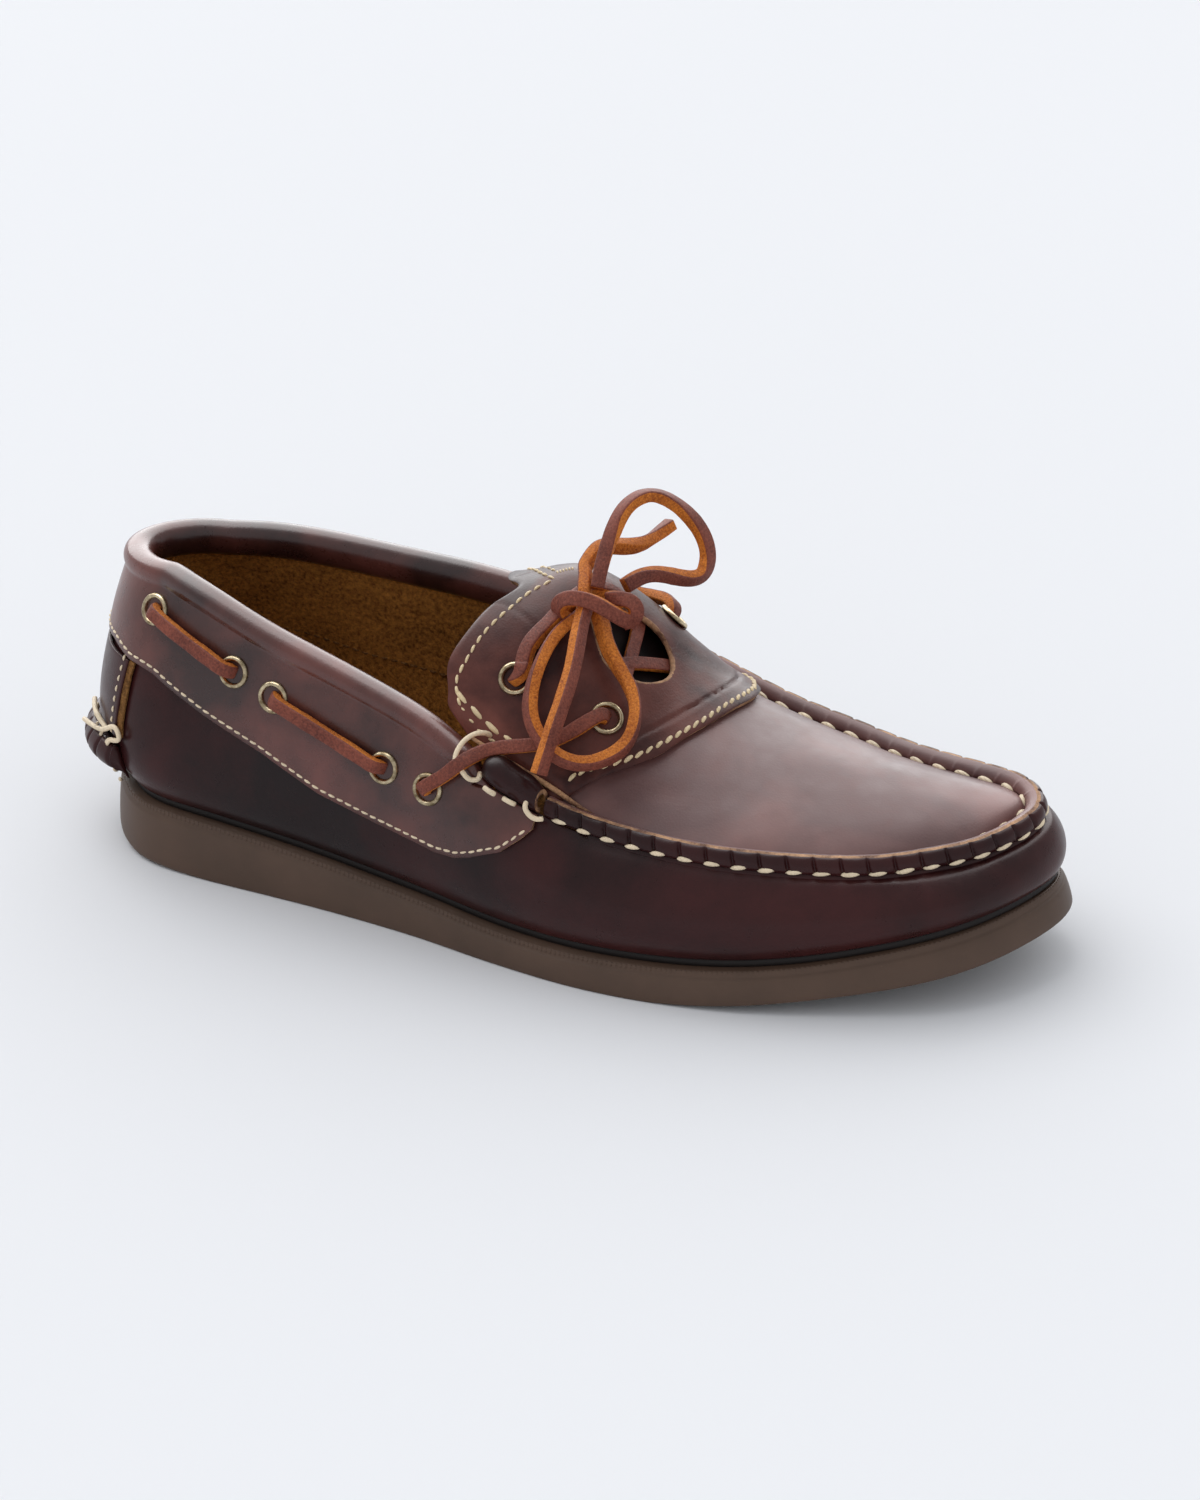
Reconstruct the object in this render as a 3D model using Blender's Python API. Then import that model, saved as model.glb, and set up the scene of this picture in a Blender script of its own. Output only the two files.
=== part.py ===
"""Moc toe loafer, right foot, standing empty on its sole.

Run with: blender --background --python part.py

Frame: metres, +X to the toe, +Y to the inner (medial) side, +Z up, with the
origin on the floor, half way along the sole.  Every table is in millimetres and
counts x from the back of the heel, because that is how a last is measured.
"""

import math
from collections import namedtuple

import bmesh
import bpy
import numpy as np

MM = 0.001

# ---------------------------------------------------------------- driving sizes
LENGTH = 295.0  # outsole, heel to toe
HALF_LENGTH = LENGTH / 2.0
TOE_SPRING = 16.5  # rise of the sole's underside at the toe tip
SPRING_START = 190.0  # the sole is flat from the heel to here
SPRING_POWER = 1.5
WALL = 2.0  # leather of the upper
GAP = 0.3  # clearance between neighbouring pieces
MIDSOLE = 2.4  # dark band between sole and upper
INSOLE = 2.6
RIDGE_WIDTH = 6.0  # standing hand-sewn ridge round the plug
RIDGE_HEIGHT = 5.2
LEDGE_RISE = 2.0  # the plug's edge lies this much above the ridge's outer foot
STAY_THICK = 1.8
TONGUE_THICK = 2.0
COVER_GAP = 0.5  # clearance under a piece that lies over a curved one
COLLAR_THICK = 1.6
EYELET_RADIUS = 5.0
EYELET_BORE = 2.75
EYELET_THICK = 1.3
LACE_WIDTH = 3.7
LACE_THICK = 2.4
LACE_ROUND = 3.6  # diameter of the lace where it is free
COLUMNS_PER_STATION = 3
WALL_ROWS = 6
PLUG_COLUMNS = 10

# ------------------------------------------------------------- the last's tables
# One row per section.  x: section, lateral and medial: half widths of the sole,
# top: height of the sole's upper edge.
Sole = namedtuple("Sole", "x lateral medial top")
SOLE = (
    Sole(0.0, 0.0, 0.0, 19.8),
    Sole(6.5, 20.6, 20.0, 19.6),
    Sole(19.0, 33.0, 32.2, 19.2),
    Sole(40.0, 37.7, 36.7, 18.5),
    Sole(60.0, 39.0, 36.6, 17.1),
    Sole(80.0, 40.4, 35.2, 15.3),
    Sole(100.0, 42.6, 33.6, 13.3),
    Sole(120.0, 45.7, 34.0, 11.6),
    Sole(135.0, 48.9, 36.0, 10.5),
    Sole(150.0, 51.6, 39.5, 9.9),
    Sole(165.0, 53.6, 43.7, 9.9),
    Sole(180.0, 54.2, 47.6, 10.3),
    Sole(200.0, 52.8, 51.2, 11.1),
    Sole(218.0, 49.6, 52.5, 12.5),
    Sole(235.0, 44.3, 51.5, 14.6),
    Sole(255.0, 36.4, 47.6, 18.5),
    Sole(270.0, 28.6, 42.6, 21.8),
    Sole(282.0, 17.6, 36.2, 24.2),
    Sole(290.0, 4.8, 28.6, 25.8),
    Sole(295.0, -14.8, 14.8, 26.8),
)

# The upper's wall at the same sections, one table a side.  Insets are measured
# inwards from the sole's edge, heights from the floor: low is the fullest part,
# mid the shoulder, top the collar's edge or the foot of the hand-sewn ridge.
Wall = namedtuple("Wall", "x low_in low_z mid_in mid_z top_in top_z")
LATERAL = (
    Wall(0.0, -3.2, 38.0, -0.6, 60.0, 6.5, 86.5),
    Wall(6.5, -2.6, 38.0, 0.6, 60.0, 10.0, 87.5),
    Wall(19.0, -1.2, 37.0, 3.6, 60.0, 14.5, 88.5),
    Wall(40.0, -0.6, 36.0, 3.6, 58.0, 11.6, 86.5),
    Wall(60.0, -0.6, 34.0, 2.4, 55.0, 8.6, 81.0),
    Wall(80.0, -0.8, 32.0, 1.2, 52.0, 7.0, 76.0),
    Wall(100.0, -1.0, 30.0, 0.5, 49.0, 6.2, 71.0),
    Wall(120.0, -1.0, 28.0, 0.2, 45.0, 5.8, 64.5),
    Wall(135.0, -1.0, 26.0, 0.2, 41.0, 5.8, 57.0),
    Wall(150.0, -0.9, 25.0, 0.8, 37.0, 7.2, 50.5),
    Wall(165.0, -0.8, 24.0, 1.4, 34.5, 8.6, 46.5),
    Wall(180.0, -0.7, 23.5, 1.6, 33.5, 8.4, 45.0),
    Wall(200.0, -0.7, 23.5, 1.4, 33.0, 7.2, 43.8),
    Wall(218.0, -0.7, 24.5, 1.2, 33.5, 7.0, 43.0),
    Wall(235.0, -0.6, 26.5, 1.2, 34.5, 6.8, 42.4),
    Wall(255.0, -0.4, 29.0, 1.6, 36.0, 7.4, 42.0),
    Wall(270.0, -0.1, 31.5, 2.0, 37.5, 9.2, 42.5),
    Wall(282.0, 0.6, 33.0, 2.7, 38.8, 8.8, 43.2),
    Wall(290.0, 1.5, 34.0, 3.3, 39.8, 8.4, 44.2),
    Wall(295.0, 2.2, 34.8, 3.9, 40.6, 8.4, 45.4),
)
MEDIAL = (
    Wall(0.0, -3.2, 38.0, -0.6, 60.0, 6.5, 86.5),
    Wall(6.5, -2.6, 38.0, 0.6, 60.0, 10.0, 86.0),
    Wall(19.0, -1.2, 37.5, 3.4, 60.0, 14.0, 85.5),
    Wall(40.0, -0.6, 37.0, 3.4, 60.0, 10.8, 84.5),
    Wall(60.0, -0.8, 36.0, 1.8, 59.0, 6.4, 82.5),
    Wall(80.0, -1.5, 35.0, -0.8, 58.0, 1.8, 80.0),
    Wall(100.0, -2.8, 33.0, -3.4, 56.0, -2.6, 77.5),
    Wall(120.0, -3.6, 31.0, -5.0, 53.0, -5.0, 74.0),
    Wall(135.0, -3.8, 29.5, -5.2, 50.0, -5.6, 71.0),
    Wall(150.0, -3.2, 28.0, -4.2, 47.5, -4.0, 66.5),
    Wall(165.0, -2.0, 27.0, -2.2, 44.5, -1.0, 61.0),
    Wall(180.0, -1.0, 26.5, 0.2, 42.0, 3.0, 55.5),
    Wall(200.0, -0.4, 26.5, 2.2, 39.0, 8.2, 50.0),
    Wall(218.0, -0.1, 27.0, 3.2, 38.0, 10.8, 47.2),
    Wall(235.0, 0.1, 28.5, 4.2, 38.5, 13.2, 45.8),
    Wall(255.0, 0.4, 30.5, 4.8, 39.5, 13.8, 45.8),
    Wall(270.0, 0.6, 32.5, 4.4, 40.0, 12.0, 46.2),
    Wall(282.0, 1.2, 33.5, 4.0, 40.3, 9.8, 46.4),
    Wall(290.0, 1.9, 34.3, 4.0, 40.6, 9.0, 46.0),
    Wall(295.0, 2.2, 34.8, 3.9, 40.6, 8.4, 45.4),
)
FEATHER_INSET = 3.3  # the upper's lower edge, inside the sole's edge

# The crest of the plug and instep, for the sections that it spans, with the
# fullness of its arch: 2 is a parabola, more is squarer.
Crest = namedtuple("Crest", "station x y z fullness")
CREST = (
    Crest(112.0, 130.0, -2.0, 95.0, 2.0),
    Crest(128.0, 144.5, 1.5, 98.0, 2.2),
    Crest(138.0, 152.0, 3.2, 94.2, 2.4),
    Crest(150.0, 161.0, 4.5, 86.2, 2.7),
    Crest(165.0, 172.0, 3.5, 76.6, 2.6),
    Crest(180.0, 185.0, 1.6, 67.8, 2.2),
    Crest(200.0, 203.0, 1.0, 61.8, 2.1),
    Crest(218.0, 219.5, 0.8, 58.6, 2.0),
    Crest(235.0, 234.5, 1.0, 56.2, 2.0),
    Crest(255.0, 252.0, 2.4, 54.0, 2.0),
    Crest(270.0, 263.5, 4.6, 52.6, 2.0),
    Crest(282.0, 273.0, 8.0, 51.2, 2.0),
    Crest(290.0, 278.6, 11.6, 50.0, 2.0),
)
THROAT = 172.0  # section where the plug ends under the lace stay
THROAT_CORNER = 156.0  # and where its strip along the lateral ridge ends

# The collar band's lower edge, as a rise on the wall: it ends in a lobe in front.
Band = namedtuple("Band", "x rise")
BAND = (
    Band(0.0, 0.74),
    Band(8.0, 0.74),
    Band(15.5, 0.71),
    Band(26.0, 0.70),
    Band(45.0, 0.63),
    Band(65.0, 0.575),
    Band(85.0, 0.49),
    Band(104.0, 0.46),
    Band(116.0, 0.45),
    Band(125.0, 0.45),
    Band(132.0, 0.48),
    Band(137.0, 0.53),
    Band(146.0, 0.66),
    Band(151.0, 0.80),
    Band(154.0, 0.90),
)
BAND_FRONT = 154.0

# Section of the padded roll over the wall's top edge: along the wall and outwards.
Roll = namedtuple("Roll", "up out")
ROLL = (
    Roll(-2.6, 0.5),
    Roll(-2.6, 2.2),
    Roll(-0.4, 3.6),
    Roll(2.6, 3.2),
    Roll(4.8, 0.6),
    Roll(4.8, -2.6),
    Roll(2.6, -5.2),
    Roll(-1.2, -6.0),
    Roll(-4.8, -4.8),
    Roll(-6.5, -2.8),
    Roll(0.5, -2.8),
    Roll(0.5, 0.5),
)
ROLL_FRONT = 131.0
ROLL_FOOT = 3.0  # the band stops this far below the wall's top edge

# Section of the hand-sewn ridge on the wall's top edge: inwards and upwards.
Ridge = namedtuple("Ridge", "inward up")
RIDGE = (
    Ridge(0.2, 0.4),
    Ridge(-0.3, 2.5),
    Ridge(0.6, 4.6),
    Ridge(2.6, RIDGE_HEIGHT),
    Ridge(4.6, 4.8),
    Ridge(5.7, 3.6),
    Ridge(5.6, 2.4),
)
RIDGE_BACK = 156.0

# The lace stay's rear and front edges, as sections, across the instep.
Stay = namedtuple("Stay", "across rear front")
STAY = (
    Stay(-0.93, 116.0, 160.0),
    Stay(-0.80, 111.0, 167.5),
    Stay(-0.62, 107.8, 177.0),
    Stay(-0.40, 106.8, 182.3),
    Stay(-0.18, 108.6, 186.3),
    Stay(0.00, 113.0, 188.6),
    Stay(0.18, 108.6, 190.3),
    Stay(0.40, 106.8, 191.6),
    Stay(0.62, 107.8, 190.8),
    Stay(0.80, 111.0, 188.2),
    Stay(0.93, 116.0, 184.5),
)
STAY_ROWS = 8

# The keyhole opening in the stay, as sections and places across, point to round end.
Opening = namedtuple("Opening", "x across")
KEYHOLE = (
    Opening(134.0, -0.05),
    Opening(142.0, 0.07),
    Opening(151.0, 0.19),
    Opening(160.0, 0.22),
    Opening(167.0, 0.13),
    Opening(169.3, -0.04),
    Opening(165.5, -0.22),
    Opening(159.0, -0.33),
    Opening(150.0, -0.38),
    Opening(142.0, -0.26),
)

# Eyelets in the collar, back to front, and in the stay, front to back.
CollarEyelet = namedtuple("CollarEyelet", "x rise")
COLLAR_EYELETS = (
    CollarEyelet(20.5, 0.90),
    CollarEyelet(54.0, 0.84),
    CollarEyelet(68.0, 0.82),
    CollarEyelet(106.4, 0.75),
    CollarEyelet(121.5, 0.77),
)
StayEyelet = namedtuple("StayEyelet", "place x across")
STAY_EYELETS = (
    StayEyelet("lower", 158.9, 0.61),
    StayEyelet("upper", 129.8, 0.71),
)


# ------------------------------------------------------------------- the splines
def natural_spline(knots, values, at):
    """Cubic through the knots with free ends, one column a quantity."""
    knots = np.asarray(knots, float)
    values = np.asarray(values, float).reshape(len(knots), -1)
    steps = np.diff(knots)
    count = len(knots)
    matrix = np.eye(count)
    right = np.zeros_like(values)
    for i in range(1, count - 1):
        matrix[i, i - 1] = steps[i - 1]
        matrix[i, i] = 2.0 * (steps[i - 1] + steps[i])
        matrix[i, i + 1] = steps[i]
        right[i] = 6.0 * ((values[i + 1] - values[i]) / steps[i] - (values[i] - values[i - 1]) / steps[i - 1])
    return spline_values(knots, values, np.linalg.solve(matrix, right), at)


def loop_spline(knots, values, at):
    """Closed cubic: the last knot is the first one, a period later."""
    knots = np.asarray(knots, float)
    values = np.asarray(values, float).reshape(len(knots), -1)
    steps = np.diff(knots)
    count = len(knots) - 1
    matrix = np.zeros((count, count))
    right = np.zeros((count, values.shape[1]))
    for i in range(count):
        before = steps[i - 1]
        after = steps[i]
        matrix[i, i - 1] += before
        matrix[i, i] += 2.0 * (before + after)
        matrix[i, (i + 1) % count] += after
        rise = (values[i + 1] - values[i]) / after
        previous = (values[i] - values[i - 1 if i else count - 1]) / before
        right[i] = 6.0 * (rise - previous)
    bends = np.linalg.solve(matrix, right)
    bends = np.vstack([bends, bends[:1]])
    period = knots[-1] - knots[0]
    wrapped = knots[0] + np.mod(np.asarray(at, float) - knots[0], period)
    return spline_values(knots, values, bends, wrapped)


def spline_values(knots, values, bends, at):
    """Evaluate a cubic spline from its second derivatives."""
    at = np.atleast_1d(np.asarray(at, float))
    i = np.clip(np.searchsorted(knots, at, side="right") - 1, 0, len(knots) - 2)
    step = (knots[i + 1] - knots[i])[:, None]
    ahead = (knots[i + 1][:, None] - at[:, None]) / step
    behind = 1.0 - ahead
    bend = (ahead**3 - ahead) * bends[i] + (behind**3 - behind) * bends[i + 1]
    return ahead * values[i] + behind * values[i + 1] + bend * step**2 / 6.0


def cubic_through_four(t, a, b, c, d):
    """Polynomial through a, b, c and d at t = 0, 1/3, 2/3 and 1."""
    u = 3.0 * t
    return (
        -a * (u - 1.0) * (u - 2.0) * (u - 3.0) / 6.0
        + b * u * (u - 2.0) * (u - 3.0) / 2.0
        - c * u * (u - 1.0) * (u - 3.0) / 2.0
        + d * u * (u - 1.0) * (u - 2.0) / 6.0
    )


# ---------------------------------------------------------------------- the last
# Stations run round the sole: heel, along the lateral side, toe, and back along
# the medial side.  A column is a place on that loop, given as its station number.
SIDE = len(SOLE) - 1
RING = 2 * SIDE
STATION_X = np.array([row.x for row in SOLE])


def ring_values(lateral, medial):
    """Put a lateral and a medial list of values in ring order, closed."""
    return np.array(list(lateral) + list(medial)[-2:0:-1] + [lateral[0]], float)


OUTLINE = np.column_stack(
    [
        ring_values([row.x for row in SOLE], [row.x for row in SOLE]),
        ring_values([-row.lateral for row in SOLE], [row.medial for row in SOLE]),
    ]
)
KNOTS = np.concatenate([[0.0], np.cumsum(np.linalg.norm(np.diff(OUTLINE, axis=0), axis=1))])
SOLE_TOP = ring_values([row.top for row in SOLE], [row.top for row in SOLE])
LEVELS = np.column_stack(
    [ring_values([row[i] for row in LATERAL], [row[i] for row in MEDIAL]) for i in range(1, 7)]
)


def station(x):
    """Station number, 0 at the heel to SIDE at the toe, of a section."""
    return np.interp(x, STATION_X, np.arange(SIDE + 1))


def along(column):
    """Arc position on the sole's outline of a place given by station number."""
    return np.interp(np.mod(column, RING), np.arange(RING + 1), KNOTS)


def outline(column):
    """Point and inward normal of the sole's edge, in plan."""
    arc = along(column)
    reach = 0.5
    point = loop_spline(KNOTS, OUTLINE, arc)
    tangent = loop_spline(KNOTS, OUTLINE, arc + reach) - loop_spline(KNOTS, OUTLINE, arc - reach)
    tangent /= np.linalg.norm(tangent, axis=1, keepdims=True)
    return point, np.column_stack([-tangent[:, 1], tangent[:, 0]])


def sole_bottom(x):
    """Height of the sole's underside."""
    run = np.clip((np.asarray(x, float) - SPRING_START) / (LENGTH - SPRING_START), 0.0, None)
    return TOE_SPRING * run**SPRING_POWER


def sole_top(column):
    """Height of the sole's upper edge."""
    return loop_spline(KNOTS, SOLE_TOP, along(column))[:, 0]


def ring(column, inset, height):
    """Points at an inset from the sole's edge and at a height."""
    point, inward = outline(column)
    inset = np.broadcast_to(np.asarray(inset, float), (len(point),))
    height = np.broadcast_to(np.asarray(height, float), (len(point),))
    return np.column_stack([point + inward * inset[:, None], height])


def wall(column, rise):
    """The upper's outer face: rise 0 at the feather edge, 1 at the top edge."""
    level = loop_spline(KNOTS, LEVELS, along(column))
    feather = sole_top(column) + MIDSOLE + 2.0 * GAP
    inset = cubic_through_four(rise, FEATHER_INSET, level[:, 0], level[:, 2], level[:, 4])
    height = cubic_through_four(rise, feather, level[:, 1], level[:, 3], level[:, 5])
    return ring(column, inset, height)


def wall_normal(column, rise):
    """Outward normal of the upper's wall."""
    step = 0.02
    round_the_shoe = wall(column + step, rise) - wall(column - step, rise)
    up = wall(column, rise + step) - wall(column, rise - step)
    normal = np.cross(round_the_shoe, up)
    return normal / np.linalg.norm(normal, axis=1, keepdims=True)


def wall_layer(column, rise, height):
    """Wall moved out by a height, and straight between the upper's own rows."""
    rise = np.broadcast_to(np.asarray(rise, float), np.shape(column))
    row = np.clip(np.floor(rise * WALL_ROWS), 0, WALL_ROWS - 1)
    part = (rise * WALL_ROWS - row)[:, None]
    height = np.broadcast_to(np.asarray(height, float), np.shape(column))[:, None]
    low = row / WALL_ROWS
    high = (row + 1) / WALL_ROWS
    below = wall(column, low) + wall_normal(column, low) * height
    above = wall(column, high) + wall_normal(column, high) * height
    return below * (1.0 - part) + above * part


def plug_edge(column):
    """Where the plug or stay meets the inner side of the hand-sewn ridge."""
    top = wall(column, 1.0)
    inward = outline(column)[1]
    return top + np.column_stack([inward * RIDGE_WIDTH, np.full(len(top), LEDGE_RISE)])


CREST_AT = [station(row.station) for row in CREST] + [float(SIDE)]


def instep(column, across):
    """Arched top of the last: across is -1 at the lateral edge and 1 at the medial."""
    column = np.atleast_1d(np.asarray(column, float))
    across = np.broadcast_to(np.asarray(across, float), column.shape)
    lateral = plug_edge(column)
    medial = plug_edge(RING - column)
    tip = plug_edge(np.array([float(SIDE)]))[0]
    rows = [(row.x, row.y, row.z, row.fullness) for row in CREST] + [(*tip, 2.0)]
    crest = natural_spline(CREST_AT, rows, column)
    side = ((across + 1.0) / 2.0)[:, None]
    chord = lateral * (1.0 - side) + medial * side
    middle = (lateral + medial) / 2.0
    bulge = 1.0 - np.abs(across)[:, None] ** crest[:, 3:4]
    bulge_y = 1.0 - across[:, None] ** 2
    lift = (crest[:, :3] - middle) * np.hstack([bulge, bulge_y, bulge])
    return chord + lift


def instep_normal(column, across):
    """Upward normal of the instep."""
    column = np.atleast_1d(np.asarray(column, float))
    step = 0.05
    low = np.clip(np.broadcast_to(np.asarray(across, float), column.shape), -0.95, 0.95)
    back = np.minimum(column, SIDE - 2.0 * step)
    lengthwise = instep(back + step, low) - instep(back - step, low)
    crosswise = instep(back, low + step) - instep(back, low - step)
    normal = np.cross(lengthwise, crosswise)
    return normal / np.linalg.norm(normal, axis=1, keepdims=True)


def instep_layer(column, across, height):
    """Instep moved outwards by a height."""
    return instep(column, across) + instep_normal(column, across) * height


def columns(first, last, steps=COLUMNS_PER_STATION):
    """Evenly divided station numbers from first to last."""
    count = max(2, int(round((last - first) * steps)))
    return np.linspace(first, last, count + 1)


# ------------------------------------------------------------------- mesh helpers
def to_world(points):
    """Table millimetres to metres, with the origin half way along the sole."""
    points = np.asarray(points, float)
    return (points - np.array([HALF_LENGTH, 0.0, 0.0])) * MM


def add_solid(name, points, faces, material):
    """Make a closed mesh object with its faces pointing out."""
    mesh = bpy.data.meshes.new(name)
    mesh.from_pydata([tuple(point) for point in to_world(points)], [], faces)
    work = bmesh.new()
    work.from_mesh(mesh)
    bmesh.ops.remove_doubles(work, verts=work.verts, dist=0.02 * MM)
    bmesh.ops.dissolve_degenerate(work, edges=work.edges, dist=0.02 * MM)
    bmesh.ops.recalc_face_normals(work, faces=work.faces)
    work.to_mesh(mesh)
    work.free()
    mesh.materials.append(material)
    mesh.shade_smooth()
    mesh.set_sharp_from_angle(angle=math.radians(40.0))
    item = bpy.data.objects.new(name, mesh)
    bpy.context.scene.collection.objects.link(item)
    return item


def grid_faces(rows, across, start=0, closed=False):
    """Quads of a grid stored row by row; closed joins its last row to the first."""
    faces = []
    for i in range(rows if closed else rows - 1):
        here = start + i * across
        there = start + ((i + 1) % rows) * across
        for j in range(across - 1):
            faces.append((here + j, there + j, there + j + 1, here + j + 1))
    return faces


def sheet_solid(name, upper_face, lower_face, material):
    """Solid between two grids of the same shape, rows by columns by 3."""
    rows, across, _ = upper_face.shape
    points = np.vstack([upper_face.reshape(-1, 3), lower_face.reshape(-1, 3)])
    size = rows * across
    faces = grid_faces(rows, across) + [face[::-1] for face in grid_faces(rows, across, size)]
    border = (
        [j for j in range(across)]
        + [i * across + across - 1 for i in range(1, rows)]
        + [(rows - 1) * across + j for j in range(across - 2, -1, -1)]
        + [i * across for i in range(rows - 2, 0, -1)]
    )
    for here, there in zip(border, border[1:] + border[:1]):
        faces.append((there, here, here + size, there + size))
    return add_solid(name, points, faces, material)


def swept_solid(name, rings, material, closed=False):
    """Solid through cross-sections of equal length, capped unless it is closed."""
    rings = np.asarray(rings, float)
    count, around, _ = rings.shape
    faces = []
    for i in range(count if closed else count - 1):
        here = i * around
        there = ((i + 1) % count) * around
        for j in range(around):
            following = (j + 1) % around
            faces.append((here + j, here + following, there + following, there + j))
    if not closed:
        faces.append(tuple(range(around)))
        faces.append(tuple(range((count - 1) * around, count * around))[::-1])
    return add_solid(name, rings.reshape(-1, 3), faces, material)


def plate_solid(name, layers, material, across=2):
    """Solid of stacked closed rings, capped by strips from side to side."""
    layers = np.asarray(layers, float)
    count, around, _ = layers.shape
    half = around // 2
    points = [layers.reshape(-1, 3)]
    faces = []
    for i in range(count - 1):
        for j in range(around):
            following = (j + 1) % around
            faces.append(
                (i * around + j, i * around + following, (i + 1) * around + following, (i + 1) * around + j)
            )
    total = count * around
    for level in (0, count - 1):
        base = level * around
        rows = [[base]]
        for j in range(1, half):
            left = layers[level, j]
            right = layers[level, around - j]
            inner = [left + (right - left) * k / across for k in range(1, across)]
            points.append(np.array(inner))
            rows.append([base + j] + [total + k for k in range(across - 1)] + [base + around - j])
            total += across - 1
        rows.append([base + half])
        for here, there in zip(rows, rows[1:]):
            if len(here) == 1:
                faces += [(here[0], there[k], there[k + 1]) for k in range(across)]
            elif len(there) == 1:
                faces += [(here[k], there[0], here[k + 1]) for k in range(across)]
            else:
                faces += [(here[k], there[k], there[k + 1], here[k + 1]) for k in range(across)]
    return add_solid(name, np.vstack(points), faces, material)


def material(name, colour, roughness, metallic=0.0):
    """Principled material from a linear colour."""
    made = bpy.data.materials.new(name)
    made.use_nodes = True
    shader = made.node_tree.nodes["Principled BSDF"]
    shader.inputs["Base Color"].default_value = (*colour, 1.0)
    shader.inputs["Roughness"].default_value = roughness
    shader.inputs["Metallic"].default_value = metallic
    return made


# --------------------------------------------------------------------- the pieces
HEEL_BEVEL = 4.0  # inset and height of the rounded edge under the heel
EDGE_BREAK = 0.7  # small rounding under the rest of the sole
BEVEL_END = 45.0
LIP = 1.5  # height of the fine lip along the sole's top
LIP_STEP = 0.6
FLARE_HEEL = 1.4  # the sole's sides lean in this much at the heel
FLARE_TOE = 3.4
HEEL_DENSE = 3  # stations each side of the heel that keep every column
LOBE_BACK = 7.0  # station from where the band keeps every column
ROLL_STEP = 0.05
BAND_POINTS = 5
RIDGE_DENSE = 15  # columns each side of the toe that the ridge keeps
HEEL_REACH = 5.0 / 3.0  # stations each side of the back seam
HEEL_THICK = 1.0
HEEL_RISES = (0.36, 0.5, 2.0 / 3.0, 0.70)
CUT_POINTS = 24
EYELET_SIDES = 10
RUN_POINTS = 8
RUN_SAG = 0.5
RUN_LIFT = 0.9  # the front run stands this much higher over its eyelets
BAR_POINTS = 6
CORD_STEP = 6.0
TAB_SIDES = 8
TAB_INWARD = 0.8
TAB_LIFT = 0.45
UP = np.array([0.0, 0.0, 1.0])
SIDE_NAMES = {-1: "lateral", 1: "medial"}

Tab = namedtuple("Tab", "x radius")
TAB = (Tab(139.0, 3.4), Tab(141.5, 4.5), Tab(146.0, 4.6), Tab(150.5, 4.4), Tab(154.5, 3.4))

# Section of the bead at the heel: rise on the wall, and how far it stands out.
Bead = namedtuple("Bead", "rise out")
BEAD = (
    Bead(0.07, 0.0),
    Bead(0.06, 3.0),
    Bead(0.11, 6.2),
    Bead(0.18, 7.2),
    Bead(0.25, 6.2),
    Bead(0.31, 3.0),
    Bead(0.30, 0.0),
    Bead(0.18, 0.0),
)

# Lace across the throat: from and to, as sections and places across the instep.
Bar = namedtuple("Bar", "x_from across_from x_to across_to height thick")
BARS = (
    Bar(147.0, -0.46, 173.0, 0.27, -1.05, 1.9),
    Bar(151.0, 0.36, 159.5, -0.46, -1.05, 1.6),
)

# Bends of the lace on its way from the collar's front eyelet to the stay.
EdgeBend = namedtuple("EdgeBend", "x inward up")
OVER_TAB = (EdgeBend(126.5, -8.2, -3.0), EdgeBend(131.0, -6.2, 5.5), EdgeBend(137.0, 0.5, 12.0))
StayBend = namedtuple("StayBend", "x across height")
OVER_STAY = (StayBend(143.0, 0.86, 7.4), StayBend(151.0, 0.74, 6.0))

# Routes of the free lace, knot first.
CORDS = {
    "lace_knot": (
        (143.0, -27.6, 84.8),
        (142.6, -23.5, 90.2),
        (145.6, -17.6, 95.6),
        (149.0, -11.0, 100.0),
        (152.5, -4.0, 102.0),
        (157.0, 1.8, 99.6),
        (160.8, 4.4, 95.0),
    ),
    "lace_loop_hanging": (
        (154.2, -9.8, 97.0),
        (150.6, -17.1, 94.1),
        (149.2, -24.9, 90.5),
        (148.9, -32.8, 84.6),
        (150.4, -38.9, 77.8),
        (154.8, -42.1, 71.8),
        (160.4, -42.7, 67.6),
        (167.0, -41.1, 65.8),
        (172.8, -37.5, 66.8),
        (176.8, -32.1, 69.6),
        (177.0, -25.7, 74.6),
        (173.6, -19.7, 79.7),
        (168.0, -16.0, 84.7),
        (163.2, -13.0, 89.3),
        (159.4, -8.6, 93.6),
    ),
    "lace_loop_upper": (
        (157.4, -7.2, 103.8),
        (157.0, -2.4, 109.6),
        (157.8, 4.3, 117.6),
        (159.6, 9.4, 122.8),
        (163.1, 15.2, 124.5),
        (166.4, 19.9, 122.4),
        (171.2, 25.2, 116.3),
        (175.3, 28.0, 108.9),
        (177.5, 26.8, 101.9),
        (177.2, 23.4, 98.6),
        (174.8, 18.0, 99.1),
        (170.4, 11.8, 102.2),
        (166.3, 5.7, 103.8),
        (162.9, 0.2, 102.4),
    ),
    "lace_end_front": (
        (156.7, -13.3, 101.8),
        (158.2, -21.5, 97.3),
        (159.9, -29.9, 90.6),
        (160.2, -38.6, 82.6),
        (159.4, -45.9, 74.0),
        (158.3, -51.0, 65.4),
    ),
    "lace_end_back": (
        (150.8, 0.0, 106.8),
        (152.3, 6.3, 109.6),
        (156.4, 12.4, 108.4),
        (160.4, 19.5, 107.0),
        (162.4, 25.8, 107.6),
        (164.2, 30.9, 108.9),
    ),
}


def whole_ring():
    """Columns all the way round, heel first."""
    return columns(0.0, float(RING))[:-1]


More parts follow.
